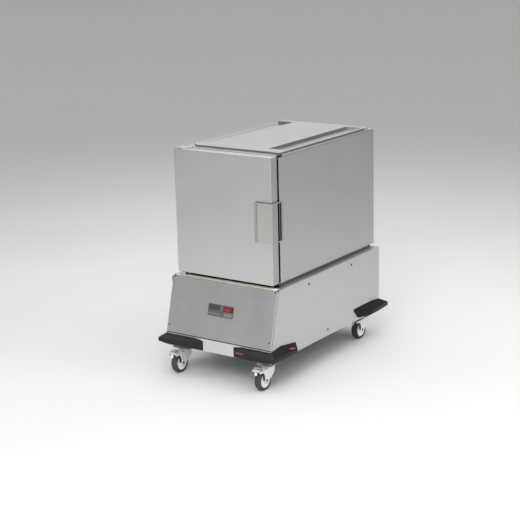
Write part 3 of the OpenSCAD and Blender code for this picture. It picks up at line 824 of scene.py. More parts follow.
bm = bmesh.new()
loops = []
for o, y, r in ((0, 61.4, 2.5), (0, 63.6, 2.5), (-0.4, 64, 2.2), (-52, 64, 20), (-54.5, 65.5, 19), (-56, 73, 18), (-58.5, 75.6, 16),
                (-61, 76, 14), (-92, 76, 16), (-94.5, 75.2, 15), (-96, 73.2, 14), (-99, 72.4, 12)):
    q = rect(-HW - o, CZ0 - o, HW + o, DZ1 + o, r, 6)
    loops.append([Vector((p[0], y, p[1])) for p in q])
loft(bm, loops)
put("door_inner_pressing", bm, "door", M["liner"], "door_inner_panel", bevel=0)

bm = bmesh.new()      # bellows seal
prof = [(-9.5, 64.2), (-9.5, 67.5), (-4.5, 69), (-4.5, 70.5), (-8.5, 72), (-8.5, 74), (-4.5, 75.5), (-4.5, 77), (-8, 78.5),
        (-9.8, 80), (-9.8, 82.6), (-8.6, 83.5), (8.6, 83.5), (9.8, 82.6), (9.8, 80), (8, 78.5), (4.5, 77), (4.5, 75.5),
        (8.5, 74), (8.5, 72), (4.5, 70.5), (4.5, 69), (9.5, 67.5), (9.5, 64.2)]
frame_loft(bm, prof, -329, 651, 329, 1367, 12, 5)
put("bellows_seal", bm, "door", M["gap"], "door_gasket", bevel=0.5, segs=2, sharp=60)

# handle: mount, paddle, pin ends
bm = bmesh.new()
plate(bm, rect(240, GZ0 - 4, 300, GZ1 + 4, 4, 4), [], -1.5, 0, XZY)
for z in (GZ0 - 4, GZ1 + 1):
    plate(bm, round_poly([(240, -11), (252, -11), (252, -1.4), (240, -1.4)], [5, 5, 0, 0], 5), [], z, z + 3)
T = lambda p: Vector((246 + p[0], -6.5 + p[1], p[2]))
lathe(bm, [(0, GZ0 - 5.2), (2.6, GZ0 - 5.2), (3.2, GZ0 - 4.6), (3.2, GZ0 - 4), (2.5, GZ0 - 4), (2.5, GZ1 + 4), (3.2, GZ1 + 4), (3.2, GZ1 + 4.6), (2.6, GZ1 + 5.2), (0, GZ1 + 5.2)], T, 24)
for z in (GZ0 + 16, GZ1 - 16, 1010):
    lathe(bm, [(3.6, -1.5), (3.6, -2.2), (3.0, -2.9), (1.6, -3.1), (1.4, -2.3), (0, -2.3)],
          (lambda zz: (lambda p: Vector((276 + p[0], p[2], zz + p[1]))))(z), 20)
put("handle_hinge_leaf", bm, "door", M["bracket"], "handle_mount", bevel=0.35, segs=2)

bm = bmesh.new()
path = round_line([(234.4, -5.6), (262, -14), (366, -14), (366, 105)], [0, 5, 4, 0], 6)
L = line_len(path)
tot = L[-1]
zc0, zc1 = GZ0, GZ1
out = round_poly([(0, zc0), (tot, zc0), (tot, zc1), (0, zc1)], [0.5, 7, 7, 0.5], 6)
e = tot - (105 - 86)
hole = rect(e - 42, zc0 + 7, e, zc1 - 7, 3.5, 4)
bent(bm, path, 2.0, out, [hole])
T = lambda p: Vector((246 + p[0], -6.5 + p[1], p[2]))
lathe(bm, [(2.56, GZ0), (4.6, GZ0), (4.6, GZ1), (2.56, GZ1)], T, 28, closed=True)
bm.normal_update()
for f in bm.faces:
    # the sloped left band takes a darker copy of the handle steel: painted shade
    if 0.2 < abs(f.normal.x) < 0.5 and f.normal.x * f.normal.y > 0.1:
        f.material_index = 1
    # the side flange takes another darker copy: painted shade
    if abs(f.normal.x) > 0.9 and f.calc_center_median().x > 360:
        f.material_index = 2
put("folded_handle", bm, "paddle", M["handle"], "handle_paddle", bevel=0.45, segs=2, sharp=50, mats=[M["handle"], M["handle_band"], M["handle_side"]])

bm = bmesh.new()      # magnet keeper on the cabinet's side, with two screws
plate(bm, rect(FY + 1, GZ0 + 3, FY + 28, GZ1 - 3, 3, 4), [], HW, HW + 4, YZX)
put("keeper_strip", bm, "cabinet", M["keeper"], "handle_keeper", bevel=0.8, segs=2)
bm = bmesh.new()
for z in (GZ0 + 30, GZ1 - 30):
    lathe(bm, [(0, HW + 3.6), (3.4, HW + 3.6), (3.4, HW + 4.2), (2.8, HW + 4.9), (1.5, HW + 5.1), (1.4, HW + 4.4), (0, HW + 4.4)],
          (lambda zz: (lambda p: Vector((p[2], 98 + p[0], zz + p[1]))))(z), 20)
put("keeper_screws", bm, "cabinet", M["screw"])

# ------------------------------------------------------------------ cabinet
bm = bmesh.new()
path = round_line([(-CAVX, FY), (-HW, FY), (-HW, CABD), (HW, CABD), (HW, FY), (CAVX, FY)], [0, 3, 7, 7, 3, 0], 5)
L = line_len(path)
bent(bm, path[::-1], 1.5, [(0, CZ0), (L[-1], CZ0), (L[-1], 1386.8), (0, 1386.8)])
put("cabinet_wrapper", bm, "cabinet", M["cab"], "cabinet_shell", bevel=0.35, segs=2, sharp=50)
bm = bmesh.new()
fan_hole = circle(0, 1000, 9, 32)
plate(bm, rect(-HW + 1.5, FY + 1.5, HW - 1.5, CABD - 1.5, 5, 4), [fan_hole], CZ0, CZ0 + 1.5)
plate(bm, rect(-HW + 1.5, FY + 1.5, HW - 1.5, CABD - 1.5, 5, 4), [], ROOF - 1.5, ROOF)
for a, b in ((CZ0 + 1.5, CAVZ0), (CAVZ1, ROOF - 1.5)):
    plate(bm, rect(-HW + 3, a, HW - 3, b), [], FY + 0.05, FY + 1.5, XZY)
put("cabinet_floor_roof_front", bm, "cabinet", M["cab"], bevel=0.3, segs=2)

# inner liner: coved box, open to the front
bm = bmesh.new()
loops = []
for o, y, r in ((1.5, FY + 1.5, 12), (0.4, FY + 1.5, 11), (0, FY + 2.4, 11), (0, CAVY1 - 14, 11), (-1.2, CAVY1 - 8, 11), (-4.5, CAVY1 - 3.4, 10), (-10, CAVY1 - 0.8, 8), (-14, CAVY1, 6)):
    q = rect(-CAVX - o, CAVZ0 - o, CAVX + o, CAVZ1 + o, max(1, r + o), 6)
    loops.append([Vector((p[0], y, p[1])) for p in q])
inn = loops
outl = []
for o, y, r in ((1.5, CAVY1 + 1.5, 12), (1.5, FY + 1.5, 12)):
    q = rect(-CAVX - o, CAVZ0 - o, CAVX + o, CAVZ1 + o, max(1, r + o), 6)
    outl.append([Vector((p[0], y, p[1])) for p in q])
R = [[bm.verts.new(p) for p in l] for l in inn[:-1]]
back = [bm.verts.new(p) for p in inn[-1]]
R.append(back)
k = len(R[0])
for A, B in zip(R, R[1:]):
    for i in range(k):
        j = (i + 1) % k
        bm.faces.new([A[i], A[j], B[j], B[i]])
bm.faces.new(back)
O = [[bm.verts.new(p) for p in l] for l in outl]
for i in range(k):
    j = (i + 1) % k
    bm.faces.new([O[0][i], O[0][j], O[1][j], O[1][i]])
    bm.faces.new([O[1][i], O[1][j], R[0][j], R[0][i]])
bm.faces.new(list(reversed(O[0])))
bmesh.ops.remove_doubles(bm, verts=bm.verts, dist=0.001)
put("coved_liner", bm, "cabinet", M["liner"], "inner_liner", sharp=40)


# roof pressing in three levels, with rounded edges
def roof_levels(mats_unused=None):
    bm = bmesh.new()
    i = 0.0
    pr = [(270, 118), (341, 113), (341, 1105), (341, 1150)]
    pl = [(270, 118), (325, 173), (325, 205), (204, 205), (204, 1105), (325, 1105), (325, 1150)]
    plat = pr + [(-x, y) for x, y in reversed(pl)]
    tr = [[(204, 205), (322, 205), (322, 1105), (204, 1105)], [(-204, 205), (-204, 1105), (-312, 1105), (-312, 205)]]
    ramp = [(-312, 205), (-312, 1105), (-334, 1105), (-334, 205)]
    HX, HB = HW - 4.5, CABD - 4.5
    lip = [(-HX, FY + 0.5), (-342, FY + 0.5), (-342, FY - 15), (342, FY - 15), (342, FY + 0.5), (HX, FY + 0.5), (HX, HB), (-HX, HB)]
    outer = round_poly(lip, [1.5, 0, 2, 2, 0, 1.5, 7, 7], 5)
    vs, es = [], []
    for l in [outer, plat, ramp] + tr:
        b = len(vs)
        vs += [Vector(p) for p in l]
        es += [(b + q, b + (q + 1) % len(l)) for q in range(len(l))]
    r = geometry.delaunay_2d_cdt(vs, es, [], 0, 1e-4)
    pts, faces = r[0], r[2]

    def level(c):
        if any(inside(c, l) for l in tr):
            return 1390.0
        if inside(c, plat):
            return PLAT
        return RIM
    V3 = {}
    on_ramp = lambda c: inside(c, ramp)

    def vert(i, z):
        if (i, z) not in V3:
            V3[(i, z)] = bm.verts.new((pts[i].x, pts[i].y, z))
        return V3[(i, z)]
    edge = {}
    for f in faces:
        c = sum((pts[q] for q in f), Vector((0, 0))) / len(f)
        if not inside(c, outer):
            continue
        z = level(c)
        # the left trough's outer side rises gently to the rim
        zz = {q: (1390.0 if pts[q].x > -320 else RIM) if on_ramp(c) else z for q in f}
        nf = bm.faces.new([vert(q, zz[q]) for q in f])
        # ramp faces take the darker ramp copy of the roof steel: painted shade
        nf.material_index = 2 if on_ramp(c) else 0
        for a, b in zip(f, list(f[1:]) + [f[0]]):
            edge.setdefault((min(a, b), max(a, b)), []).append((a, b, zz))
    for (a, b), l in edge.items():
        p, q = l[0][0], l[0][1]
        if len(l) == 1:
            zb = 1396.4 if pts[p].y < FY + 0.6 and pts[q].y < FY + 0.6 else 1388.4
            f = bm.faces.new([vert(q, RIM), vert(p, RIM), vert(p, zb), vert(q, zb)])
            # outer skirts, except on the right, take the darker wall copy: painted shade
            f.material_index = 1 if zb < 1390 and pts[p].x + pts[q].x < 680 else 0
            continue
        if l[0][2][a] == l[1][2][a] and l[0][2][b] == l[1][2][b]:
            continue
        hi, lo = (l[0], l[1]) if l[0][2][a] + l[0][2][b] > l[1][2][a] + l[1][2][b] else (l[1], l[0])
        p, q = hi[0], hi[1]
        mid = lambda i: [V3[(i, RIM)]] if (lo[2][i] < RIM < hi[2][i] and (i, RIM) in V3) else []
        ring = []
        for v in [vert(q, hi[2][q]), vert(p, hi[2][p])] + mid(p) + [vert(p, lo[2][p]), vert(q, lo[2][q])] + mid(q):
            if v not in ring:
                ring.append(v)
        if len(ring) > 2:
            f = bm.faces.new(ring)
            nx = pts[q].x - pts[p].x
            # most walls between the levels take the darker wall copy: painted shade
            f.material_index = 1 if max(hi[2].values()) > min(lo[2].values()) + 5 and pts[p].x > -210 or abs(nx) > 5 else 0
            if pts[p].x > 150 and pts[q].x > 150 and min(pts[p].y, pts[q].y) > 1100:
                f.material_index = 0
    for v in bm.verts:      # the rim beside the right wall lies a little lower
        if v.co.x > 338 and v.co.y > 100 and abs(v.co.z - RIM) < 0.1:
            v.co.z -= 3.5
    bmesh.ops.dissolve_limit(bm, angle_limit=math.radians(0.05), verts=[], edges=[e for e in bm.edges if len(e.link_faces) == 2 and e.calc_face_angle(1) < 1e-3], use_dissolve_boundaries=False, delimit=set())
    return bm


bm = roof_levels()
bm.normal_update()
es = [e for e in bm.edges if len(e.link_faces) == 2 and e.calc_face_angle(0) > math.radians(20)]
# every fold gets a small round
bmesh.ops.bevel(bm, geom=es, offset=1.1, segments=2, profile=0.5, affect="EDGES", clamp_overlap=True)
bm2 = bmesh.new()      # joint under the roof's rim
plate(bm2, rect(-HW, FY + 1.5, HW, CABD, 6.8, 4), [rect(-HW + 5.5, FY + 3, HW - 5.5, CABD - 5.5, 4, 4)], 1386.4, 1388.4)
# the ring shows as a darker line in the fold steel: painted shade at the joint under the roof's rim
put("cabinet_top_fold", bm2, "cabinet", M["fold"], bevel=0.8, segs=3)
roof = put("roof_pressing", bm, "cabinet", M["roof"], "top_panel", sharp=45, mats=[M["roof"], M["roofwall"], M["roofedge"]])
sd = roof.modifiers.new("sheet", "SOLIDIFY")
sd.thickness = 0.0011
sd.offset = -1.0


# ------------------------------------------------------------- tray racks
for s, nm in ((-1, "left"), (1, "right")):
    TX = (lambda ss: (lambda p: Vector((ss * p[2], p[0], p[1]))))(s)      # plane (y, z), run along x
    bm = bmesh.new()
    holes = []
    for k in range(8):
        z = 765 + 72 * k
        for j in range(6):
            y0 = 122 + j * 168
            holes.append(slot_poly(y0, z + 20, y0 + 118, z + 44, 6))
    plate(bm, rect(95, 735, 1130, 765 + 7 * 72 + 50, 6, 4), holes, 272, 273.5, TX)
    put("rack_wall_" + nm, bm, "cabinet", M["rack"], "tray_rack_" + nm, bevel=0)
    bm = bmesh.new()
    for k in range(8):
        z = 765 + 72 * k
        prof = bend_line([(272.2, z + 1.5), (254, z + 1.5), (254, z - 6)], 1.5, 1.0, 3)
        lo = [bm.verts.new(Vector((s * x, 100, q))) for x, q in prof]
        hi = [bm.verts.new(Vector((s * x, 1125, q))) for x, q in prof]
        bm.faces.new(list(reversed(lo)))
        bm.faces.new(hi)
        for i in range(len(prof)):
            j = (i + 1) % len(prof)
            bm.faces.new([lo[i], lo[j], hi[j], hi[i]])
    put("rack_ledges_" + nm, bm, "cabinet", M["rack"])
    bm = bmesh.new()
    for y in (140, 610, 1080):
        for z in (750, 765 + 7 * 72 - 15):
            T = (lambda yy, zz, ss: (lambda p: Vector((ss * p[2], yy + p[0], zz + p[1]))))(y, z, s)
            lathe(bm, [(0, 268.4), (2.2, 268.4), (2.6, 269.2), (5.2, 269.2), (6.2, 270.0), (6.4, 272.0), (4.4, 272.0), (4.4, 273.5), (7, 273.5), (7, 310), (9, 311.5), (9, 313.9), (0, 313.9)], T, 24)
    put("rack_studs_" + nm, bm, "cabinet", M["screw"])

# --------------------------------------------------------- air duct panel
bm = bmesh.new()
z0, z1 = CAVZ0 + 54, CAVZ1 - 28
path = round_line([(860, CAVZ0), (860, z0 + 1.5), (1138.5, z0 + 1.5), (1138.5, z1), (CAVY1, z1)], [0, 5, 4, 5, 0], 5)
L = line_len(path)
s_top = 860
holes = []
for k in range(-3, 4):
    yy = 1000 + k * 18
    s0 = L[-1]
    # length along the path of a point on the horizontal shelf
    base = (z0 + 1.5 - CAVZ0) - 5 + (math.pi / 2) * 5 - 5
    holes.append(slot_poly(base + (yy - 860) - 4 + 5, -60, base + (yy - 860) + 4 + 5, 60, 6))
base2 = base + 5 + (1138.5 - 860) - 4 + (math.pi / 2) * 4 - 4 - (z0 + 1.5)
for k in range(8):
    for sx in (-1, 1):
        zz = 790 + k * 66
        holes.append(slot_poly(base2 + zz, sx * 130 - 80, base2 + zz + 7, sx * 130 + 80, 6))
bent(bm, path, 1.5, [(0, -256), (L[-1], -256), (L[-1], 256), (0, 256)], holes, lambda p: Vector((p[2], p[0], p[1])))
for sx in (-1, 1):
    a, b = sgn(sx, 254.5, 256)
    add_box(bm, (a, 861, CAVZ0), (b, 1139, z0 + 0.5))
    add_box(bm, (a, 1139.5, CAVZ0), (b, CAVY1, z1 - 1))
put("air_duct_sheet", bm, "cabinet", M["liner"], "air_duct_panel", bevel=0.3, segs=1)

# ---------------------------------------------------------------- the base
for s, nm in ((-1, "left"), (1, "right")):
    bm = bmesh.new()
    path = round_line([(BW - 16, DECK), (BW, DECK), (BW, SKIRT), (BW - 16, SKIRT)], [0, 3.5, 2.5, 0], 5)
    L = line_len(path)
    zs = lambda d: DECK - (d - 16)                  # height on the outer face at a length
    d1 = 16 + (DECK - 260)
    pts = [(0, slope_y(DECK) + 17), (16, slope_y(DECK) + 14.6), (d1, slope_y(260) + 14.6), (d1, YA), (L[-1] - 16, YA), (L[-1], YA + 6), (L[-1], YB - 8), (L[-1] - 16, YB - 1.5), (16, YB - 1.5), (0, YB - 8)]
    T = (lambda ss: (lambda p: Vector((ss * p[0], p[2], p[1]))))(s)
    bent(bm, path, -1.5, pts, [], T)
    put("base_side_sheet_" + nm, bm, "cabinet", M["base"], "side_panel_" + nm, bevel=0.4, segs=2, sharp=50)

bm = bmesh.new()
path = round_line([(BW, -11), (BW, 0), (-BW, 0), (-BW, -11)], [0, 3.2, 3.2, 0], 5)
L = line_len(path)
mid = L[-1] / 2
win = rect(mid - 91, -206, mid + 91, -144, 3, 3)
out = [(0, -356.8), (L[-1], -356.8), (L[-1], -6), (L[-1] - 10, -3.7), (10, -3.7), (0, -6)]
bent(bm, path, 1.5, out, [win], lambda p: SL((p[0], p[2], p[1])))
put("sloping_front_sheet", bm, "cabinet", M["slope"], "front_panel", bevel=0.4, segs=2, sharp=50)
bm = bmesh.new()      # dark strip along the lower edge: painted shadow at the gap below the sloping sheet
prism(bm, round_poly([(-363, -2.2), (-354, -2.2), (-354, -6), (-363, -6)], 0.8, 2), -BW + 1, BW - 1, lambda p: SL((p[2], p[0], p[1])))

put("lower_joint_shadow_strip", bm, "cabinet", M["seal"])
bm = bmesh.new()      # rolled fold along the upper edge
prism(bm, round_poly([(-4.2, 0.0), (0.0, 0.0), (0.0, -13), (-1.5, -13), (-1.5, -1.5), (-4.2, -1.5)], [0.1, 3.6, 0.4, 0.4, 2.2, 0.1], 8), -BW + 2.5, BW - 2.5, lambda p: SL((p[2], p[0], p[1])))
# the fold steel is darker than the sheet: painted shade on the fold
put("sloping_front_fold", bm, "cabinet", M["fold"])

bm = bmesh.new()
path = round_line([(YA + 12, SKIRT + 0.2), (YA, SKIRT + 0.2), (YA, 256.9), (YA + 4, 258.9)], [0, 2, 2, 0], 4)
L = line_len(path)
bent(bm, path, -1.6, [(0, -BW + 2), (L[-1], -BW + 2), (L[-1], BW - 2), (0, BW - 2)], [], lambda p: Vector((p[2], p[0], p[1])))
put("apron_sheet", bm, "cabinet", M["apron"], "front_apron", bevel=0.3, segs=2, sharp=50)

# deck with a raised neck under the cabinet
bm = bmesh.new()
plate(bm, rect(-BW + 17, -2, BW - 17, YB - 3, 3, 3), [circle(0, 1000, 9, 32), rect(-330, 105, 330, 985 - 40, 12, 4)], DECK - 1.5, DECK)
# the deck sheet takes the darker deck copy: painted shade in the recess
put("deck_sheet", bm, "cabinet", M["deck_back"], "deck_plate", bevel=0.3, segs=2)
bm = bmesh.new()
loops = []
for o, z in ((6, DECK - 0.2), (2, DECK + 1.2), (0, DECK + 4), (0, CZ0 + 0.2)):
    q = rect(-336 - o, 96 - o, 336 + o, 1192 + o, 10 + o, 6)
    loops.append([Vector((p[0], p[1], z)) for p in q])
for o, z in ((-3, CZ0 + 0.2), (-3, DECK + 2)):
    q = rect(-336 - o, 96 - o, 336 + o, 1192 + o, 10 + o, 6)
    loops.append([Vector((p[0], p[1], z)) for p in q])
loft(bm, loops, cap0=False, cap1=False, ring=True)
# the neck ring's dark steel is painted shade in the recess
put("neck_ring", bm, "cabinet", M["neck"])
bm = bmesh.new()      # near-black strip in front of the neck: painted shadow in the gap under the door
plate(bm, rect(-331, 92.2, 331, 96.2, 1.5, 3), [], DECK + 0.3, CZ0 - 0.2)
put("neck_front_shadow_strip", bm, "cabinet", M["gap"], bevel=0.5, segs=2)
bm = bmesh.new()      # front strip of the deck in whiter, nearly non-metal steel: painted light in front of the door
plate(bm, rect(-BW + 18, -1.5, BW - 18, 43, 2, 3), [], DECK - 0.3, DECK + 0.25)
put("deck_front_strip", bm, "cabinet", M["deck"])
bm = bmesh.new()      # near-black ribbed mat on the deck under the door: painted shadow under the door
plate(bm, rect(-292, 44.6, 350, 92, 3, 4), [], DECK + 0.2, DECK + 2.0)
for k in range(6):
    prism(bm, rect(46.4 + k * 7.6, DECK + 1.9, 50 + k * 7.6, DECK + 3.4, 0.8, 3), -288, 346, YZX)
put("deck_shadow_mat", bm, "cabinet", M["gap"], bevel=0.3, segs=1)
bm = bmesh.new()      # near-black strip in the gap beside the door: painted shadow in the gap
plate(bm, rect(339.6, 634, 352.6, 1380, 2, 3), [], 83.1, 83.95, lambda p: Vector((p[0], p[2], p[1])))
put("door_gap_shadow_strip", bm, "cabinet", M["gap"])
bm = bmesh.new()      # corner block beside the roof's front lip
plate(bm, rect(342.6, 70.5, 353.8, 122, 2.5, 4), [], 1388, 1402.4)
put("roof_corner_block", bm, "cabinet", M["seal"], bevel=1.2, segs=3)

# rear sheet with formed louvres
bm = bmesh.new()
TR = lambda p: Vector((p[0], YB - 1.5 + p[2], p[1]))
holes = [slot_poly(40, 320 + k * 22 - 1, 300, 320 + k * 22 + 8, 5) for k in range(9)] + [rect(-276, 391, -224, 429, 4, 4)]
plate(bm, rect(-BW + 0.4, SKIRT, BW - 0.4, DECK, 2, 3), holes, 0, 1.5, TR)
put("rear_sheet", bm, "cabinet", M["base"], "rear_panel", bevel=0)
bm = bmesh.new()
for k in range(9):
    zc = 320 + k * 22
    prof = [(-1, 1.2), (-1, 2.3), (3, 4.8), (7, 5.6), (9.4, 5.0), (10.2, 3.8), (10.4, 1.2), (9.4, 1.2), (9.2, 3.2), (8.4, 4.2), (6.8, 4.6), (3.2, 3.9), (0.2, 1.9), (0.2, 1.2)]
    lo = [bm.verts.new(TR((38, zc + a, b))) for a, b in prof]
    hi = [bm.verts.new(TR((302, zc + a, b))) for a, b in prof]
    bm.faces.new(list(reversed(lo)))
    bm.faces.new(hi)
    for i in range(len(prof)):
        j = (i + 1) % len(prof)
        bm.faces.new([lo[i], lo[j], hi[j], hi[i]])
    for sx, x in ((1, 38), (-1, 302)):
        q = [(-1, 1.2), (-1, 2.3), (3, 4.8), (7, 5.6), (9.4, 5.0), (10.2, 3.8), (10.4, 1.2)]
        prism(bm, q, x - 0.6 if sx > 0 else x - 0.6, x + 0.6, (lambda zz: (lambda p: TR((p[2], zz + p[0], p[1]))))(zc))
put("louvre_hoods", bm, "cabinet", M["base"], bevel=0.2, segs=1)
bm = bmesh.new()
for x, z in ((-372, 590), (372, 590), (-372, 300), (372, 300), (0, 590), (0, 265)):
    lathe(bm, [(0, 1.4), (5.2, 1.4), (5.2, 2.0), (4.6, 3.2), (3.0, 3.9), (1.9, 4.0), (1.7, 2.6), (0, 2.5)], (lambda xx, zz: (lambda p: TR((xx + p[0], zz + p[1], p[2]))))(x, z), 24)
put("rear_screws", bm, "cabinet", M["screw"])

# chassis tray with turned-up flanges, and pads
bm = bmesh.new()
x0, x1, y0, y1 = -BW + 4, BW - 4, YA + 3, YB - 4
loops = []
for o, z, r in ((-30, SKIRT, 6), (0, SKIRT, 6), (2.2, SKIRT + 2.2, 7), (2.2, SKIRT + 28, 7), (0.2, SKIRT + 28, 6), (0.2, SKIRT + 4.0, 6), (-1.6, SKIRT + 2.6, 5), (-30, SKIRT + 2.6, 6)):
    q = rect(x0 - o, y0 - min(o, 0), x1 + o, y1 + min(o, 0) + (0 if o < 0 else min(o, 2.0)), max(0.8, r), 4)
    loops.append([Vector((p[0], p[1], z)) for p in q])
R = [[bm.verts.new(p) for p in l] for l in loops]
for A, B in zip(R, R[1:]):
    for i in range(len(A)):
        j = (i + 1) % len(A)
        bm.faces.new([A[i], A[j], B[j], B[i]])
bm.faces.new(list(reversed(R[0])))
bm.faces.new(R[-1])
put("chassis_tray", bm, "cabinet", M["pan"], "chassis_pan", bevel=0)
bm = bmesh.new()
for s in (-1, 1):
    for y in (-22, 1118):
        cxp = s * 315
        loops = []
        for o, z in ((-9, 150.0), (-0.8, 150.0), (0, 150.8), (0, 154), (-3, 156), (-3, 168), (0, 170), (0, SKIRT + 0.1), (-9, SKIRT + 0.1)):
            q = rect(cxp - 57 - o, y - 47 - o, cxp + 57 + o, y + 47 + o, 8 + max(o, -7), 5)
            loops.append([Vector((p[0], p[1], z)) for p in q])
        loft(bm, loops)
put("caster_pads", bm, "cabinet", M["pan"])

# ------------------------------------------------------------ corner bumpers
def bumper_shape(s, f):
    yw = YA if f > 0 else YB
    g = -f
    e = 0 if f > 0 else 5
    cross = [((116, yw), (116, yw + g * 2), (175, 178, 229, 238)), ((170, yw), (170, yw + g * 22), (175, 185, 239, 246)),
             ((211, yw), (211, yw + g * (40 + e)), (176, 190, 233, 246)), ((370, yw), (370, yw + g * (43 + e)), (176, 191, 221, 247)),
             ((BW - 2, yw), (424, yw + g * (43 + e)), (181, 198, 221, 248)), ((BW, yw), (431.5, yw + g * (41 + e * .95)), (181, 198, 221, 248)),
             ((BW, yw), (435.2, yw + g * (36 + e * .7)), (181, 198, 221, 248)), ((BW, yw), (436, yw + g * 27), (181, 198, 221, 248))]
    if f > 0:
        side = [((BW, yw + 100), (432, yw + 100), (176, 192, 217, 263)), ((BW, 139), (430, 139), (176, 191, 213, 246)),
                ((BW, 178), (BW + 2, 178), (176, 182, 220, 239))]
    else:
        side = [((BW, 1122), (433, 1122), (176, 190, 217, 260)), ((BW, 1045), (430, 1045), (176, 188, 214, 260)),
                ((BW, 932), (BW + 14, 932), (189, 191, 230, 260)), ((BW, 877), (BW + 2, 877), (243, 244, 259, 260))]
    st = cross + side
    bm = bmesh.new()
    loops = []
    for w, o, z in st:
        d = Vector((o[0] - w[0], o[1] - w[1]))
        p = d.length
        u = d / p
        # section in (out, z): rounded nose, small step of the foot
        sec = [(0, z[0]), (p * 0.45, z[0] + (z[1] - z[0]) * 0.25), (p, z[1]), (p, z[2]), (0, z[3])]
        rr = min(5.0, p * 0.45, (z[2] - z[1]) * 0.3)
        sec = round_poly(sec, [0.0, min(4, p * 0.2), rr, rr, 0.0], 3)
        want = 14
        while len(sec) < want:
            # keep the same number of points on every section
            i = max(range(len(sec)), key=lambda q: (Vector(sec[q]) - Vector(sec[(q + 1) % len(sec)])).length)
            a, b = Vector(sec[i]), Vector(sec[(i + 1) % len(sec)])
            sec.insert(i + 1, tuple((a + b) / 2))
        loops.append([Vector((s * (w[0] + u.x * a), w[1] + u.y * a, b)) for a, b in sec])
    loft(bm, loops)
    return bm


for nm, s, f in (("front_left", -1, 1), ("front_right", 1, 1), ("rear_left", -1, -1), ("rear_right", 1, -1)):
    bm = bumper_shape(s, f)
    bm.normal_update()
    for fc in bm.faces:         # the upper outer facets and the side leg's outer part take the darker bumper copy: painted shade
        c = fc.calc_center_median()
        top = c.z > 222 and abs(c.x) > 396 and (c.y > -100 if f > 0 else c.y < 1215)
        if top or (f > 0 and c.y > 140) or (f < 0 and c.y < 1044):
            fc.material_index = 1
    put("bumper_moulding_" + nm, bm, "cabinet", M["bumper"], "bumper_" + nm, bevel=1.1, segs=2, angle=16, sharp=30, mats=[M["bumper"], M["bumper_end"]])


# ------------------------------------------------------------------ screws
def pan_head(bm, T, r=4.5, h=2.2, cross=True, n=28):
    """A pan head with a cross recess; local z is outwards, its seat at z 0."""
    lathe(bm, [(r * 0.5, -0.2), (r, -0.2), (r, h * 0.25), (r * 0.94, h * 0.55), (r * 0.78, h * 0.82), (r * 0.55, h * 0.97), (r * 0.42, h)], T, n)
    a, b = r * 0.42, r * 0.13
    # recess: a cross-shaped pit closed by its floor
    top = [bm.verts.new(T(Vector((a * math.cos(2 * math.pi * i / n), a * math.sin(2 * math.pi * i / n), h)))) for i in range(n)]
    c = [(b, -a * .93), (b, -b), (a * .93, -b), (a * .93, b), (b, b), (b, a * .93), (-b, a * .93), (-b, b), (-a * .93, b), (-a * .93, -b), (-b, -b), (-b, -a * .93)]
    ring = circle(0, 0, a, n)
    pts, faces = flat([ring, c], lambda p: inside(p, ring) and not inside(p, c))
    vs = [bm.verts.new(T(Vector((p.x, p.y, h)))) for p in pts]
    for f in faces:
        bm.faces.new([vs[i] for i in f])
    lo = [bm.verts.new(T(Vector((x * 0.8, y * 0.8, h * 0.35)))) for x, y in c]
    hi = [bm.verts.new(T(Vector((x, y, h)))) for x, y in c]
    for i in range(12):
        j = (i + 1) % 12
        bm.faces.new([hi[i], hi[j], lo[j], lo[i]])
    bm.faces.new(lo)
    for v in top:
        bm.verts.remove(v)


bm = bmesh.new()
for s in (-1, 1):
    for y in (-9, -312):
        pan_head(bm, (lambda ss, yy: (lambda p: SL((ss * 374 + p[0], yy + p[1], p[2]))))(s, y), 4.9, 2.2)
    for y, z in ((338, 567), (848, 567), (554, 214)):
        pan_head(bm, (lambda ss, yy, zz: (lambda p: Vector((ss * (BW + p[2]), yy + p[0], zz + p[1]))))(s, y, z), 7.4, 2.4)
put("cross_head_screws", bm, "cabinet", M["panel_screw"], "panel_screws", sharp=35)

# ---------------------------------------------------------------- controls
bm = bmesh.new()
holes = [rect(20, -176, 90, -146, 2, 3), rect(32.1, -201.9, 47.9, -188.1, 3, 4), rect(58.1, -201.9, 73.9, -188.1, 3, 4), circle(-78, -195, 7.4, 32)]
plate(bm, rect(-94, -212, 94, -138, 5, 6), holes, 0, 3, SL)
put("fascia_plate", bm, "cabinet", M["fascia"], "control_fascia", bevel=0.5, segs=2)
bm = bmesh.new()
loops = []
for o, z in ((0, -1.4), (0, 2.0), (-0.5, 2.45), (-1.2, 2.6)):
    loops.append([SL((p[0], p[1], z)) for p in rect(20.1 - o, -175.9 - o, 89.9 + o, -146.1 + o, 2.2 + o, 4)])
loft(bm, loops)
put("display_window", bm, "cabinet", M["lens"], "display_lens")
bm = bmesh.new()      # seven-segment digits
SEG = {"0": "abcdef", "1": "bc", "2": "abged", "3": "abgcd", "4": "fgbc", "5": "afgcd", "6": "afgedc", "7": "abc", "8": "abcdefg"}


def digit(bm, ch, x, y, w, h, t):
    q = {"a": (0, h, 1), "g": (0, h / 2, 1), "d": (0, 0, 1), "f": (0, h / 2, 0), "b": (w, h / 2, 0), "e": (0, 0, 0), "c": (w, 0, 0)}
    for k in SEG[ch]:
        px, py, hor = q[k]
        if hor:
            c = [(px + t * .6, py), (px + t * 1.1, py + t / 2), (px + w - t * 1.1, py + t / 2), (px + w - t * .6, py), (px + w - t * 1.1, py - t / 2), (px + t * 1.1, py - t / 2)]
        else:
            c = [(px, py + t * .6), (px + t / 2, py + t * 1.1), (px + t / 2, py + h / 2 - t * 1.1), (px, py + h / 2 - t * .6), (px - t / 2, py + h / 2 - t * 1.1), (px - t / 2, py + t * 1.1)]
        prism(bm, [(x + a + (b * 0.08), y + b) for a, b in c], 2.5, 2.75, SL)


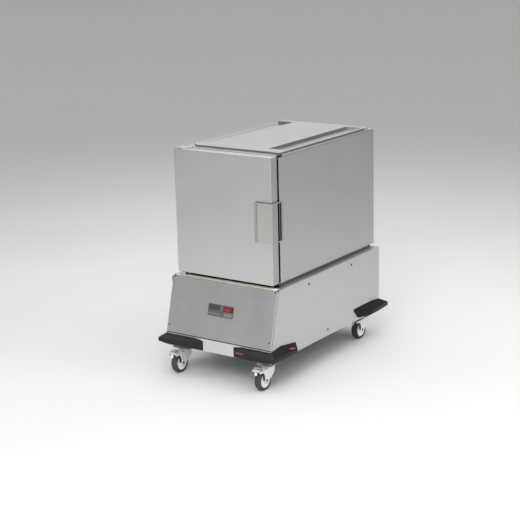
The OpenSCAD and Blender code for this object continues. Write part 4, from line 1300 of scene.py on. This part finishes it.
for i, ch in enumerate("680"):
    digit(bm, ch, 30 + i * 18, -169.5, 11, 16, 2.8)
prism(bm, circle(62.6, -170, 1.4, 12), 2.5, 2.75, SL)
put("display_digits", bm, "cabinet", M["digit"])
bm = bmesh.new()      # darker field and plain marks of the fascia
prism(bm, rect(-88, -174, -6, -144, 2, 3), 2.95, 3.12, SL)
put("fascia_dark_field", bm, "cabinet", M["darkwin"])
bm = bmesh.new()
plate(bm, rect(24, -208, 93, -183, 3, 3), [rect(x - 8.3, -202.3, x + 8.3, -187.7, 3.4, 4) for x in (40, 66)], 2.95, 3.08, SL)
put("fascia_key_field", bm, "cabinet", M["mark2"])
bm = bmesh.new()
for x in (-64, -52, -40, -28, -16, -4):
    prism(bm, rect(x - 3.6, -200, x + 3.6, -192.5, 0.8, 2), 2.95, 3.15, SL)
for x in (-64, -52, -40, -28, -16, -4):
    prism(bm, rect(x - 2.2, -205.5, x + 2.2, -204, 0.4, 2), 2.95, 3.15, SL)
for y in (-150, -158, -166, -174):
    prism(bm, circle(11, y, 1.7, 14), 2.95, 3.25, SL)
put("fascia_marks", bm, "cabinet", M["mark"])
for nm, x in (("key_up", 40), ("key_down", 66)):
    bm = bmesh.new()
    loops = []
    for o, z in ((0, -5), (0, 3.4), (-0.3, 4.0), (-0.9, 4.35), (-2.4, 4.4), (-3.6, 4.05), (-5.2, 3.9)):
        loops.append([SL((p[0], p[1], z)) for p in rect(x - 7.5 - o, -201.5 - o, x + 7.5 + o, -188.5 + o, max(0.6, 2.6 + o), 4)])
    loft(bm, loops)
    put(nm + "_cap_shape", bm, nm + "_cap", M["key"], nm)
    bm = bmesh.new()
    sg = 1 if nm == "key_up" else -1
    prism(bm, [(x - 2.4, -195 - sg * 1.2), (x + 2.4, -195 - sg * 1.2), (x, -195 + sg * 1.8)], 3.8, 4.05, SL)
    put(nm + "_arrow", bm, nm + "_cap", M["darkwin"])
bm = bmesh.new()
lathe(bm, [(0, -5), (7, -5), (7, 3.4), (6.7, 4.0), (6.1, 4.35), (4.9, 4.4), (3.4, 4.05), (0, 3.9)], lambda p: SL((-78 + p[0], -195 + p[1], p[2])), 40)
put("key_power_cap_shape", bm, "key_power_cap", M["key"], "key_power")
bm = bmesh.new()
lathe(bm, [(1.5, 3.9), (2.2, 3.9), (2.2, 4.15), (1.5, 4.15)], lambda p: SL((-78 + p[0], -195 + p[1], p[2])), 24, a0=125, a1=415, closed=True)
prism(bm, rect(-78.35, -194.6, -77.65, -192.2), 3.9, 4.15, SL)
put("key_power_ring", bm, "key_power_cap", M["darkwin"])

# ------------------------------------------------------------ rear fittings
bm = bmesh.new()      # push bar
path = [Vector((-240, CABD + 1, 1050)), Vector((-240, CABD + 20, 1050))]
path += arc3((-210, CABD + 20, 1050), (-1, 0, 0), (0, 1, 0), 30, 8, 90, 9)
path += arc3((210, CABD + 20, 1050), (0, 1, 0), (1, 0, 0), 30, 0, 82, 9)
path += [Vector((240, CABD + 20, 1050)), Vector((240, CABD + 1, 1050))]
tube(bm, path, 12.5, n=28)
for s in (-1, 1):
    T = (lambda ss: (lambda p: Vector((ss * 240 + p[0], CABD + p[2], 1050 + p[1]))))(s)
    lathe(bm, [(11, 0.05), (26, 0.05), (26, 2.6), (25, 4.2), (22.6, 4.95), (16.5, 5.0), (14.6, 5.5), (13.2, 7.2), (12.4, 9.5), (11, 9.5)], T, 40, closed=True)
put("push_bar", bm, "cabinet", M["tube"], "push_handle", sharp=40)
bm = bmesh.new()
for s in (-1, 1):
    for a in (90, 210, 330):
        xx = s * 240 + 19.3 * math.cos(math.radians(a))
        zz = 1050 + 19.3 * math.sin(math.radians(a))
        pan_head(bm, (lambda X, Z: (lambda p: Vector((X + p[0], CABD + 4.7 + p[2], Z + p[1]))))(xx, zz), 3.4, 1.9)
put("push_bar_screws", bm, "cabinet", M["screw"], sharp=35)

bm = bmesh.new()      # mains inlet
TI = lambda p: Vector((p[0], YB + p[2], p[1]))
plate(bm, rect(-284, 384, -216, 436, 6, 5), [rect(-268, 398, -232, 422, 4, 4)], 0, 3, TI)
plate(bm, rect(-275.5, 391.5, -224.5, 428.5, 3, 3), [rect(-268, 398, -232, 422, 4, 4)], -33, 0.2, TI)
plate(bm, rect(-270, 396, -230, 424, 2, 3), [], -33.8, -24, TI)
for sx in (-1, 1):
    plate(bm, circle(-250 + sx * 28.5, 410, 3.4, 20), [], 2.6, 4.1, TI)
for x in (-260, -250, -240):
    lathe(bm, [(0, -24.4), (2.4, -24.4), (2.4, -11), (1.9, -9.6), (0.9, -9), (0, -9)], (lambda xx: (lambda p: TI((xx + p[0], 410 + p[1], p[2]))))(x), 16)
put("mains_inlet", bm, "cabinet", M["black"], "power_inlet", bevel=0.35, segs=2)

bm = bmesh.new()      # side buffer
loops = []
for o, x in ((0, -BW), (0, -BW - 7), (-0.8, -BW - 10), (-2.4, -BW - 11.6), (-4.2, -BW - 12)):
    loops.append([Vector((x, p[0], p[1])) for p in rect(-6 - o, 547 - o, 16 + o, 594 + o, max(1, 5 + o), 5)])
loft(bm, loops)
put("side_buffer", bm, "cabinet", M["seal"], "door_buffer")

# --------------------------------------------------------- hinge brackets
bm = bmesh.new()
plate(bm, round_poly([(-358, 6), (-294, 6), (-294, 60), (-358, 60)], [8, 9, 4, 4], 5), [], DECK, DECK + 4)
plate(bm, round_poly([(-357, 14), (-312, 14), (-312, 50), (-357, 50)], [10, 6, 6, 10], 5), [], DECK + 3.9, CZ0 - 6)
T = lambda p: Vector((-342 + p[0], 30 + p[1], p[2]))
lathe(bm, [(11, CZ0 - 6.2), (11, CZ0 - 3), (10, CZ0 - 2.1), (6, CZ0 - 2.0), (6, CZ0 + 22), (5, CZ0 + 24), (0, CZ0 + 24)], T, 32)
plate(bm, round_poly([(-354, 10), (-292, 10), (-266, 40), (-266, 114), (-354, 114)], [9, 10, 10, 4, 3], 5), [], RIM + 0.05, RIM + 4)
lathe(bm, [(0, DZ1 - 22), (5, DZ1 - 22), (6, DZ1 - 20.5), (6, RIM + 0.5), (8, RIM + 0.5), (0, RIM + 0.5)][:4] + [(0, RIM + 0.5)], T, 32)
put("pivot_brackets", bm, "cabinet", M["bracket"], "hinge_brackets", bevel=0.6, segs=2)
bm = bmesh.new()
for x, y, z in ((-280, 96, RIM + 4), (-318, 96, RIM + 4), (-342, 96, RIM + 4)):
    pan_head(bm, (lambda X, Y, Z: (lambda p: Vector((X + p[0], Y + p[1], Z + p[2]))))(x, y, z), 5, 2.4)
for x, y in ((-303, 17), (-303, 49), (-352.0, 53)):
    pan_head(bm, (lambda X, Y: (lambda p: Vector((X + p[0], Y + p[1], DECK + 4 + p[2]))))(x, y), 5, 2.4)
put("bracket_screws", bm, "cabinet", M["screw"], sharp=35)


# ------------------------------------------------------------------ casters
def hexhead(bm, T, r, z0, z1, up=True):
    """A hexagon with chamfered corners from z0 to z1; the chamfer is at z1."""
    n = 48
    h = z1 - z0
    s = 1 if h > 0 else -1
    loops = []
    for f, z in ((1.0, z0), (1.0, z1 - s * min(abs(h) * 0.35, 1.6)), (0.5, z1)):
        ring = []
        for i in range(n):
            a = 2 * math.pi * i / n
            hexr = r * math.cos(math.pi / 6) / math.cos((a + math.pi / 6) % (math.pi / 3) - math.pi / 6)
            cap = r * (1.0 if f == 1.0 else 0.90)
            ring.append(T(Vector((min(hexr, cap) * math.cos(a), min(hexr, cap) * math.sin(a), z))))
        loops.append(ring)
    loft(bm, loops)


bm = bmesh.new()
for s in (-1, 1):
    for yc in (-22, 1118):
        T = (lambda ss, yy: (lambda p: Vector((ss * 315 + p[0], yy + p[1], p[2]))))(s, yc)
        sl = []
        for x in (-40, 40):
            for y in (-30, 30):
                sl.append(slot_poly(x - 9.5, y - 4.5, x + 9.5, y + 4.5, 5))
        plate(bm, rect(-52.5, -42.5, 52.5, 42.5, 8, 5), sl, 146, 150, T)
        lathe(bm, [(6, 119), (6, 140.5), (17, 140.5), (18.5, 141.6), (24, 141.2), (28.6, 140.2), (30, 141.2), (30, 143.2), (27.5, 145.2), (24, 146.1), (0, 146.1), (0, 119)], T, 44)
        hexhead(bm, T, 10, 126.7, 119)
        for x in (-40, 40):
            for y in (-30, 30):
                TT = (lambda t0, a, b: (lambda p: t0(Vector((a + p[0], b + p[1], p[2])))))(T, x, y)
                lathe(bm, [(0, 146.1), (8.6, 146.1), (8.6, 144.6), (0, 144.6)], TT, 28)
                hexhead(bm, TT, 7, 145, 141)
put("caster_top_plates", bm, "cabinet", M["zinc"], "caster_plates", bevel=0.3, segs=1, sharp=35)

for q, s, yc, lugs in (("front_left", -1, -22, True), ("front_right", 1, -22, True), ("rear_left", -1, 1118, False), ("rear_right", 1, 1118, False)):
    T = (lambda ss, yy: (lambda p: Vector((ss * 315 + p[0], yy + p[1], p[2]))))(s, yc)
    bm = bmesh.new()
    # U-shaped crown along its length
    path = round_line([(-29, 124.5), (-29, 132), (29, 132), (29, 124.5)], [0, 4, 4, 0], 5)
    L = line_len(path)
    out = round_poly([(0, -121.6), (L[-1], -121.6), (L[-1], 37), (0, 37)], 2, 3)
    mid = L[-1] / 2
    bent(bm, path, -3, out, [circle(mid, 0, 6.06, 28)], lambda p: T((p[0], p[2], p[1])))
    # legs, folded slightly behind the axle
    for sx in (-1, 1):
        lp = [(-122, 29.0), (4, 29.0), (38, 27.4)]
        pol = round_poly([(38, 124.4), (38, 100), (5, 73.5), (-38, 47.5), (-66.5, 47.5), (-66.5, 88), (-77, 113), (-90, 118.5), (-121.6, 121.5), (-121.6, 124.4)],
                         [0, 14, 10, 12, 13, 9, 9, 6, 2, 0], 5)
        pol = [(y + 122, z) for y, z in pol]
        hole = circle(-52 + 122, 62.5, 4.06, 24)
        bent(bm, lp, -3, pol, [hole], (lambda k: (lambda p: T((k * p[1], p[0], p[2]))))(sx))
        # pressed ring round the axle
        lathe(bm, [(7.5, 28.8), (12.4, 28.8), (12.0, 29.7), (11, 30.1), (8.6, 30.1), (7.5, 29.4)],
              (lambda k: (lambda p: T((k * p[2], -52 + p[0], 62.5 + p[1]))))(sx), 32, closed=True)
    # bearing race
    lathe(bm, [(6.06, 130), (6.06, 139.4), (24, 139.6), (28.5, 139.0), (31, 137.4), (31, 135.8), (30, 135.0), (31.0, 134.0), (33.0, 132.6), (34, 131.7), (20, 131)], T, 48, closed=True)
    # hanging guard, a bent strip with a rounded end
    gp = round_line([(-108, 128), (-123.5, 128), (-124.8, 108)], [0, 4, 0], 5)
    GL = line_len(gp)
    go = round_poly([(0, -9), (GL[-1], -9), (GL[-1], 9), (0, 9)], [0, 7, 7, 0], 5)
    bent(bm, gp, -2.6, go, [], lambda p: T((p[2], p[0], p[1])))
    if lugs:
        for x in (-21, 18):
            lug = round_poly([(-73, 131), (-59, 131), (-59, 145), (-73, 145)], [0, 0, 6.5, 6.5], 6)
            plate(bm, lug, [circle(-66, 139, 3.06, 20)], x, x + 3, lambda p: T((p[2], p[0], p[1])))
    put("fork_pressing_" + q, bm, "swivel_" + q, M["zinc"], "fork_" + q, bevel=0.45, segs=2, sharp=40)

    # dark plates between the legs and the wheel: painted shadow under the crown and beside the hub
    bm = bmesh.new()
    gd = round_poly([(30, 126.5), (22, 100), (-8, 84), (-36, 84), (-58, 66), (-71, 63), (-81, 72), (-82, 94), (-91, 111), (-100, 117), (-117, 120), (-117, 126.5)],
                    [0, 8, 8, 10, 8, 7, 7, 10, 8, 6, 2, 0], 5)
    for sx in (-1, 1):
        a, b = sgn(sx, 23.0, 25.4)
        plate(bm, gd, [], a, b, lambda p: T((p[2], p[0], p[1])))
    put("fork_shadow_plates_" + q, bm, "swivel_" + q, M["black"], bevel=0.3, segs=1)

    # axle bolt with washer and nut
    TA = (lambda t0: (lambda p: t0(Vector((p[2], -52 + p[0], 62.5 + p[1])))))(T)
    bm = bmesh.new()
    lathe(bm, [(0, -33.6), (4, -33.6), (4, 33.0), (3.4, 33.8), (0, 33.8)], TA, 28)
    for sx in (-1, 1):
        lathe(bm, [(0, sx * 30.1), (9.2, sx * 30.1), (9.2, sx * 31.0), (0, sx * 31.0)], TA, 32)
    hexhead(bm, TA, 7, -31.0, -33.9)
    hexhead(bm, TA, 7, 31.0, 33.9)
    put("axle_bolt_" + q, bm, "swivel_" + q, M["screw"], "axle_" + q, sharp=35)

    # wheel body with a dished web and low ribs
    bm = bmesh.new()
    half = [(14, 25), (13.2, 25.8 - 0.8), (14.6, 24.0), (15.2, 15.4), (17, 14.2), (34.5, 13.6), (37.0, 14.6), (39.0, 18.2), (40.4, 19.5), (45.6, 19.6), (47.0, 18.8)]
    half = [(14.2, 24.9), (15.0, 24.2), (15.6, 15.6), (17.4, 14.2), (34.5, 13.8), (37.0, 15.0), (38.8, 18.4), (40.4, 19.5), (45.8, 19.6), (47.2, 18.6)]
    prof = [(4.1, 24.9)] + half + [(47.2, -18.6)] + [(r, -z) for r, z in reversed(half[:-1])] + [(4.1, -24.9)]
    lathe(bm, prof, TA, 56, closed=True)
    put("wheel_body_" + q, bm, "wheel_" + q, M["hub"], "hub_" + q, sharp=42)
    bm = bmesh.new()
    for k in range(6):
        a = math.radians(60 * k + 14)
        for sx in (-1, 1):
            z0, z1 = sorted((sx * 13.4, sx * 16.0))
            pts = [(16, -1.1), (36.4, -1.5), (36.4, 1.5), (16, 1.1)]
            R2 = lambda p, a=a: TA(Vector((p[0] * math.cos(a) - p[1] * math.sin(a), p[0] * math.sin(a) + p[1] * math.cos(a), p[2])))
            prism(bm, pts, z0, z1, R2)
    put("wheel_ribs_" + q, bm, "wheel_" + q, M["hub"], bevel=0.35, segs=2)

    bm = bmesh.new()
    half = [(47.25, 19.4), (48.6, 20.9), (51, 21.7), (55.6, 22.0), (58.6, 21.0), (60.9, 18.6), (62.0, 15.0), (62.4, 10.5), (62.5, 6.0), (62.5, 0.9), (62.1, 0.45)]
    prof = half + [(r, -z) for r, z in reversed(half)]
    lathe(bm, prof, TA, 96, closed=True)
    put("tyre_moulding_" + q, bm, "wheel_" + q, M["tyre"], "tyre_" + q, sharp=50)

    if lugs:
        bm = bmesh.new()
        TP = (lambda t0: (lambda p: t0(Vector((p[2], -66 + p[0], 139 + p[1])))))(T)
        lathe(bm, [(0, -24), (2.4, -24), (3, -23.4), (3, -16), (5.5, -16), (5.5, 16), (3, 16), (3, 23.4), (2.4, 24), (0, 24)], TP, 28)
        # lower blade for the foot, its tip turned slightly down
        fp = round_line([(-64, 144), (-104, 144), (-121, 142.6), (-129.9, 139.4)], [0, 20, 12, 0], 6)
        FLn = line_len(fp)
        e = FLn[-1]
        op = round_poly([(0, -15), (30, -15), (37, -22), (e - 8, -26), (e, -21), (e, 21), (e - 8, 26), (37, 22), (30, 15), (0, 15)], [3, 3, 6, 6, 3, 3, 6, 6, 3, 3], 5)
        bent(bm, fp, 2.0, op, [slot_poly(46, -16, 51, 16, 5)], lambda p: T((p[2], p[0], p[1])))
        # upper blade that releases the brake, on a narrow folded web
        up_ = round_line([(-121.6, 154.8), (-112, 153.2), (-84, 151.4)], [0, 14, 0], 6)
        UL = line_len(up_)
        ou = round_poly([(0, -16), (7, -20), (UL[-1], -14), (UL[-1], 14), (7, 20), (0, 16)], [3, 5, 4, 4, 5, 3], 5)
        bent(bm, up_, -1.8, ou, [], lambda p: T((p[2], p[0], p[1])))
        prism(bm, round_poly([(-96, 143.4), (-84, 143.4), (-86, 151.6), (-95, 151.6)], [0, 3, 3, 0], 4), -7.6, 7.6, lambda p: T((p[2], p[0], p[1])))
        bi = bmesh.new()      # dark damper between the two blades
        prism(bi, round_poly([(-104, 144.2), (-97, 144.2), (-97, 150.2), (-104, 150.8)], [2, 0.4, 0.4, 2], 4), -15, 15, lambda p: T((p[2], p[0], p[1])))
        put("pedal_damper_" + q, bi, "brake_" + q, M["black"], bevel=0.3, segs=1)
        put("pedal_pressing_" + q, bm, "brake_" + q, M["zinc2"], "pedal_" + q, bevel=0.5, segs=2, sharp=40)

# ------------------------------------------------- details inside the cart
bm = bmesh.new()      # cooling fins and bolts of the fan motor
T = lambda p: Vector((p[0], 1000 + p[1], p[2]))
for k in range(9):
    z = 542 + k * 6.4
    lathe(bm, [(43.5, z), (47, z + 0.3), (47, z + 1.7), (43.5, z + 2.0)], T, 44, closed=True)
for a in range(0, 360, 90):
    X, Y = 52 * math.cos(math.radians(a + 45)), 52 * math.sin(math.radians(a + 45))
    hexhead(bm, (lambda x, y: (lambda p: T(Vector((x + p[0], y + p[1], p[2])))))(X, Y), 4.4, 601.6, 598.4)
put("motor_fins", bm, "cabinet", M["greycase"], sharp=35)

# kept nodes get softened edges
for n, wdt in (("fan_motor", 1.0), ("power_unit", 1.2), ("control_board", 0.3), ("fan_impeller", 0.3), ("door_bushes", 0.3),
               ("door_foam", 1.5), ("insulation", 1.5)):
    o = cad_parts[n]
    b = o.modifiers.new("soft_edges", "BEVEL")
    b.width = wdt * 0.001
    b.segments = 2
    b.limit_method = "ANGLE"
    b.angle_limit = math.radians(40)

# plain orange strips printed on the tapered ends of the front right bumper
def strip(name, pairs, lift=0.45):
    """A thin printed strip: pairs of (lower, upper) points along it."""
    bm = bmesh.new()
    front, back = [], []
    for k, (lo_, hi_) in enumerate(pairs):
        a, b = pairs[max(0, k - 1)], pairs[min(len(pairs) - 1, k + 1)]
        along = (Vector(b[0]) - Vector(a[0])).normalized()
        n = along.cross((Vector(hi_) - Vector(lo_)).normalized()).normalized()
        front.append((Vector(lo_) + n * lift, Vector(hi_) + n * lift))
        back.append((Vector(lo_) - n * 0.3, Vector(hi_) - n * 0.3))
    loft(bm, [[p[0] for p in front] + [p[1] for p in reversed(front)], [p[0] for p in back] + [p[1] for p in reversed(back)]])
    return put(name, bm, "cabinet", M["orange"])


def lerp(a, b, t):
    return a + (b - a) * t


pairs = []
for x in (141, 150, 160, 170, 180, 190, 200, 211, 218):
    y = YA - (lerp(2, 22, (x - 116) / 54) if x <= 170 else lerp(22, 40, (x - 170) / 41) if x <= 211 else lerp(40, 43, (x - 211) / 159))
    zc = lerp(209, 222, (x - 141) / 77)
    lean = 0
    pairs.append(((x, y, zc - 3.4), (x, y, zc + 3.4)))
strip("orange_strip_front", pairs, 1.3)
pairs = []
for k in range(7):
    t = k / 6
    y = lerp(74, 124, t)
    q = (y - 10) / 129
    w = Vector((BW, y, lerp(263, 246, q)))
    o = Vector((lerp(432, 430, q), y, lerp(217, 213, q)))
    sc = lerp(0.62, 0.76, t)
    pairs.append((tuple(w.lerp(o, sc + 0.075)), tuple(w.lerp(o, sc - 0.075))))
strip("orange_strip_side", pairs)

# ------------------------------------------------- carried-over CAD nodes
NODE_MAT = {
    "cabinet_shell": "cab", "inner_liner": "liner", "insulation": "foam", "top_panel": "roof",
    "tray_rack_left": "rack", "tray_rack_right": "rack", "air_duct_panel": "liner", "deck_plate": "base",
    "side_panel_left": "base", "side_panel_right": "base", "rear_panel": "base", "front_panel": "slope",
    "chassis_pan": "pan", "front_apron": "apron", "bumper_front_left": "bumper", "bumper_front_right": "bumper",
    "bumper_rear_left": "bumper", "bumper_rear_right": "bumper", "panel_screws": "screw", "control_fascia": "fascia",
    "display_lens": "lens", "control_board": "board", "power_unit": "greycase", "heater_element": "heat",
    "fan_motor": "greycase", "power_inlet": "black", "hinge_brackets": "bracket", "handle_keeper": "keeper",
    "door_buffer": "seal", "push_handle": "tube", "caster_plates": "zinc", "door_skin": "door",
    "door_inner_panel": "liner", "door_foam": "foam", "door_gasket": "seal", "door_bushes": "white",
    "handle_mount": "bracket", "handle_paddle": "handle", "key_power": "key", "key_up": "key", "key_down": "key",
    "fan_impeller": "fanal"}
for q in ("front_left", "front_right", "rear_left", "rear_right"):
    NODE_MAT.update({"fork_" + q: "zinc", "axle_" + q: "screw", "hub_" + q: "hub", "tyre_" + q: "tyre"})
for q in ("front_left", "front_right"):
    NODE_MAT["pedal_" + q] = "zinc"
for n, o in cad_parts.items():
    o.data.materials.clear()
    o.data.materials.append(M[NODE_MAT[n]])

# ------------------------------------------------------ camera and light
W = bpy.data.worlds.new("studio")
S.world = W
W.use_nodes = True
wt = W.node_tree
bg = next(n for n in wt.nodes if n.type == "BACKGROUND")
tc = wt.nodes.new("ShaderNodeTexCoord")
sep = wt.nodes.new("ShaderNodeSeparateXYZ")
rp = wt.nodes.new("ShaderNodeValToRGB")
wt.links.new(tc.outputs["Generated"], sep.inputs[0])
mr = wt.nodes.new("ShaderNodeMapRange")
mr.inputs["From Min"].default_value = -1
mr.inputs["From Max"].default_value = 1
wt.links.new(sep.outputs["Z"], mr.inputs["Value"])
wt.links.new(mr.outputs[0], rp.inputs[0])
e = rp.color_ramp.elements
e[0].position, e[0].color = 0.0, (0.7, 0.7, 0.7, 1)
e[1].position, e[1].color = 1.0, (0.8, 0.8, 0.8, 1)
for p, c in ((0.50, 0.62), (0.58, 0.5), (0.66, 0.52), (0.78, 0.72)):
    el = e.new(p)
    el.color = (c, c * 0.998, c * 0.994, 1)
wt.links.new(rp.outputs[0], bg.inputs["Color"])
bg.inputs["Strength"].default_value = 1.0


def area(name, loc, target, size, power, sy=None, color=(1, 1, 1)):
    d = bpy.data.lights.new(name, "AREA")
    d.shape = "RECTANGLE" if sy else "SQUARE"
    d.size = size
    if sy:
        d.size_y = sy
    d.energy = power
    d.color = color
    o = link(bpy.data.objects.new(name, d))
    o.location = loc
    o.rotation_mode = "QUATERNION"
    o.rotation_quaternion = (Vector(target) - Vector(loc)).to_track_quat("-Z", "Y")
    return o


area("key", (2.0, -4.4, 3.8), (-0.2, -1.2, 0.2), 2.6, 150)
area("top", (0.2, 0.2, 5.2), (0, 0, 1.0), 6.4, 156)
area("fill", (4.0, 1.2, 2.8), (1.5, 0.9, 0), 2.4, 35)
area("back", (-3.6, 5.4, 3.2), (0, 0, 1.4), 5.0, 11, sy=2.4)

floor = bmesh.new()
R0 = [(0.0, 0.0)] + [(r, z) for r, z in ((3, 0), (6, 0), (9, 0), (11, 0.12), (12.6, 0.6), (13.6, 1.5), (14.2, 3.0), (14.5, 5.0))]
lathe(floor, [(r, z - 0.0008) for r, z in R0], n=96)
bmesh.ops.recalc_face_normals(floor, faces=floor.faces)
for f in floor.faces:
    f.smooth = True
fm = bpy.data.meshes.new("studio_floor")
floor.to_mesh(fm)
floor.free()
mf = Mat("studio_floor")
n1 = mf.noise(0.7, 3.0, 0.5)
n2 = mf.noise(160.0, 2.0, 0.5)
ln = mf.t.nodes.new("ShaderNodeVectorMath")
ln.operation = "LENGTH"
mf.wire(mf.co, ln.inputs[0])
# the floor's colour darkens with distance from the cart: a painted pool of light round the cart
light_falloff = mf.rng(ln.outputs["Value"], 0.0, 1.0, 2.6, 6.5)
fm.materials.append(mf.out(mf.mix(light_falloff, mf.mix(mf.rng(n1, 0.0, 1.0, 0.3, 0.7), lin(214, 214, 213), lin(218, 218, 217)), lin(200, 200, 199)), mf.rng(n2, 0.72, 0.8), mf.bump(n2, 0.04, 0.0005), Metallic=0.0, Specular_IOR_Level=0.25))
fo = link(bpy.data.objects.new("studio_floor", fm))
fo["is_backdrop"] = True

# the fitted camera: azimuth, elevation and roll in degrees
az, el, ro = math.radians(34.6549), math.radians(14.9726), math.radians(-1.3752)
back = Vector((math.sin(az) * math.cos(el), -math.cos(az) * math.cos(el), math.sin(el)))
right = Vector((0, 0, 1)).cross(back).normalized()
up = back.cross(right)
cx = right * math.cos(ro) + up * math.sin(ro)
cy = -right * math.sin(ro) + up * math.cos(ro)
cd = bpy.data.cameras.new("camera")
cd.sensor_width = 36.0
cd.lens = 1311.475 / 520 * 36.0
cd.clip_start, cd.clip_end = 0.1, 100
cam = link(bpy.data.objects.new("camera", cd))
cam.matrix_world = Matrix(((cx.x, cy.x, back.x, 4.53359), (cx.y, cy.y, back.y, -6.73577), (cx.z, cy.z, back.z, 2.78923), (0, 0, 0, 1)))
S.camera = cam
S.view_settings.view_transform = "Standard"
S.view_settings.look = "None"
S.view_settings.exposure = 0.0
S.view_settings.gamma = 1.0

lo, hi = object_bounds()
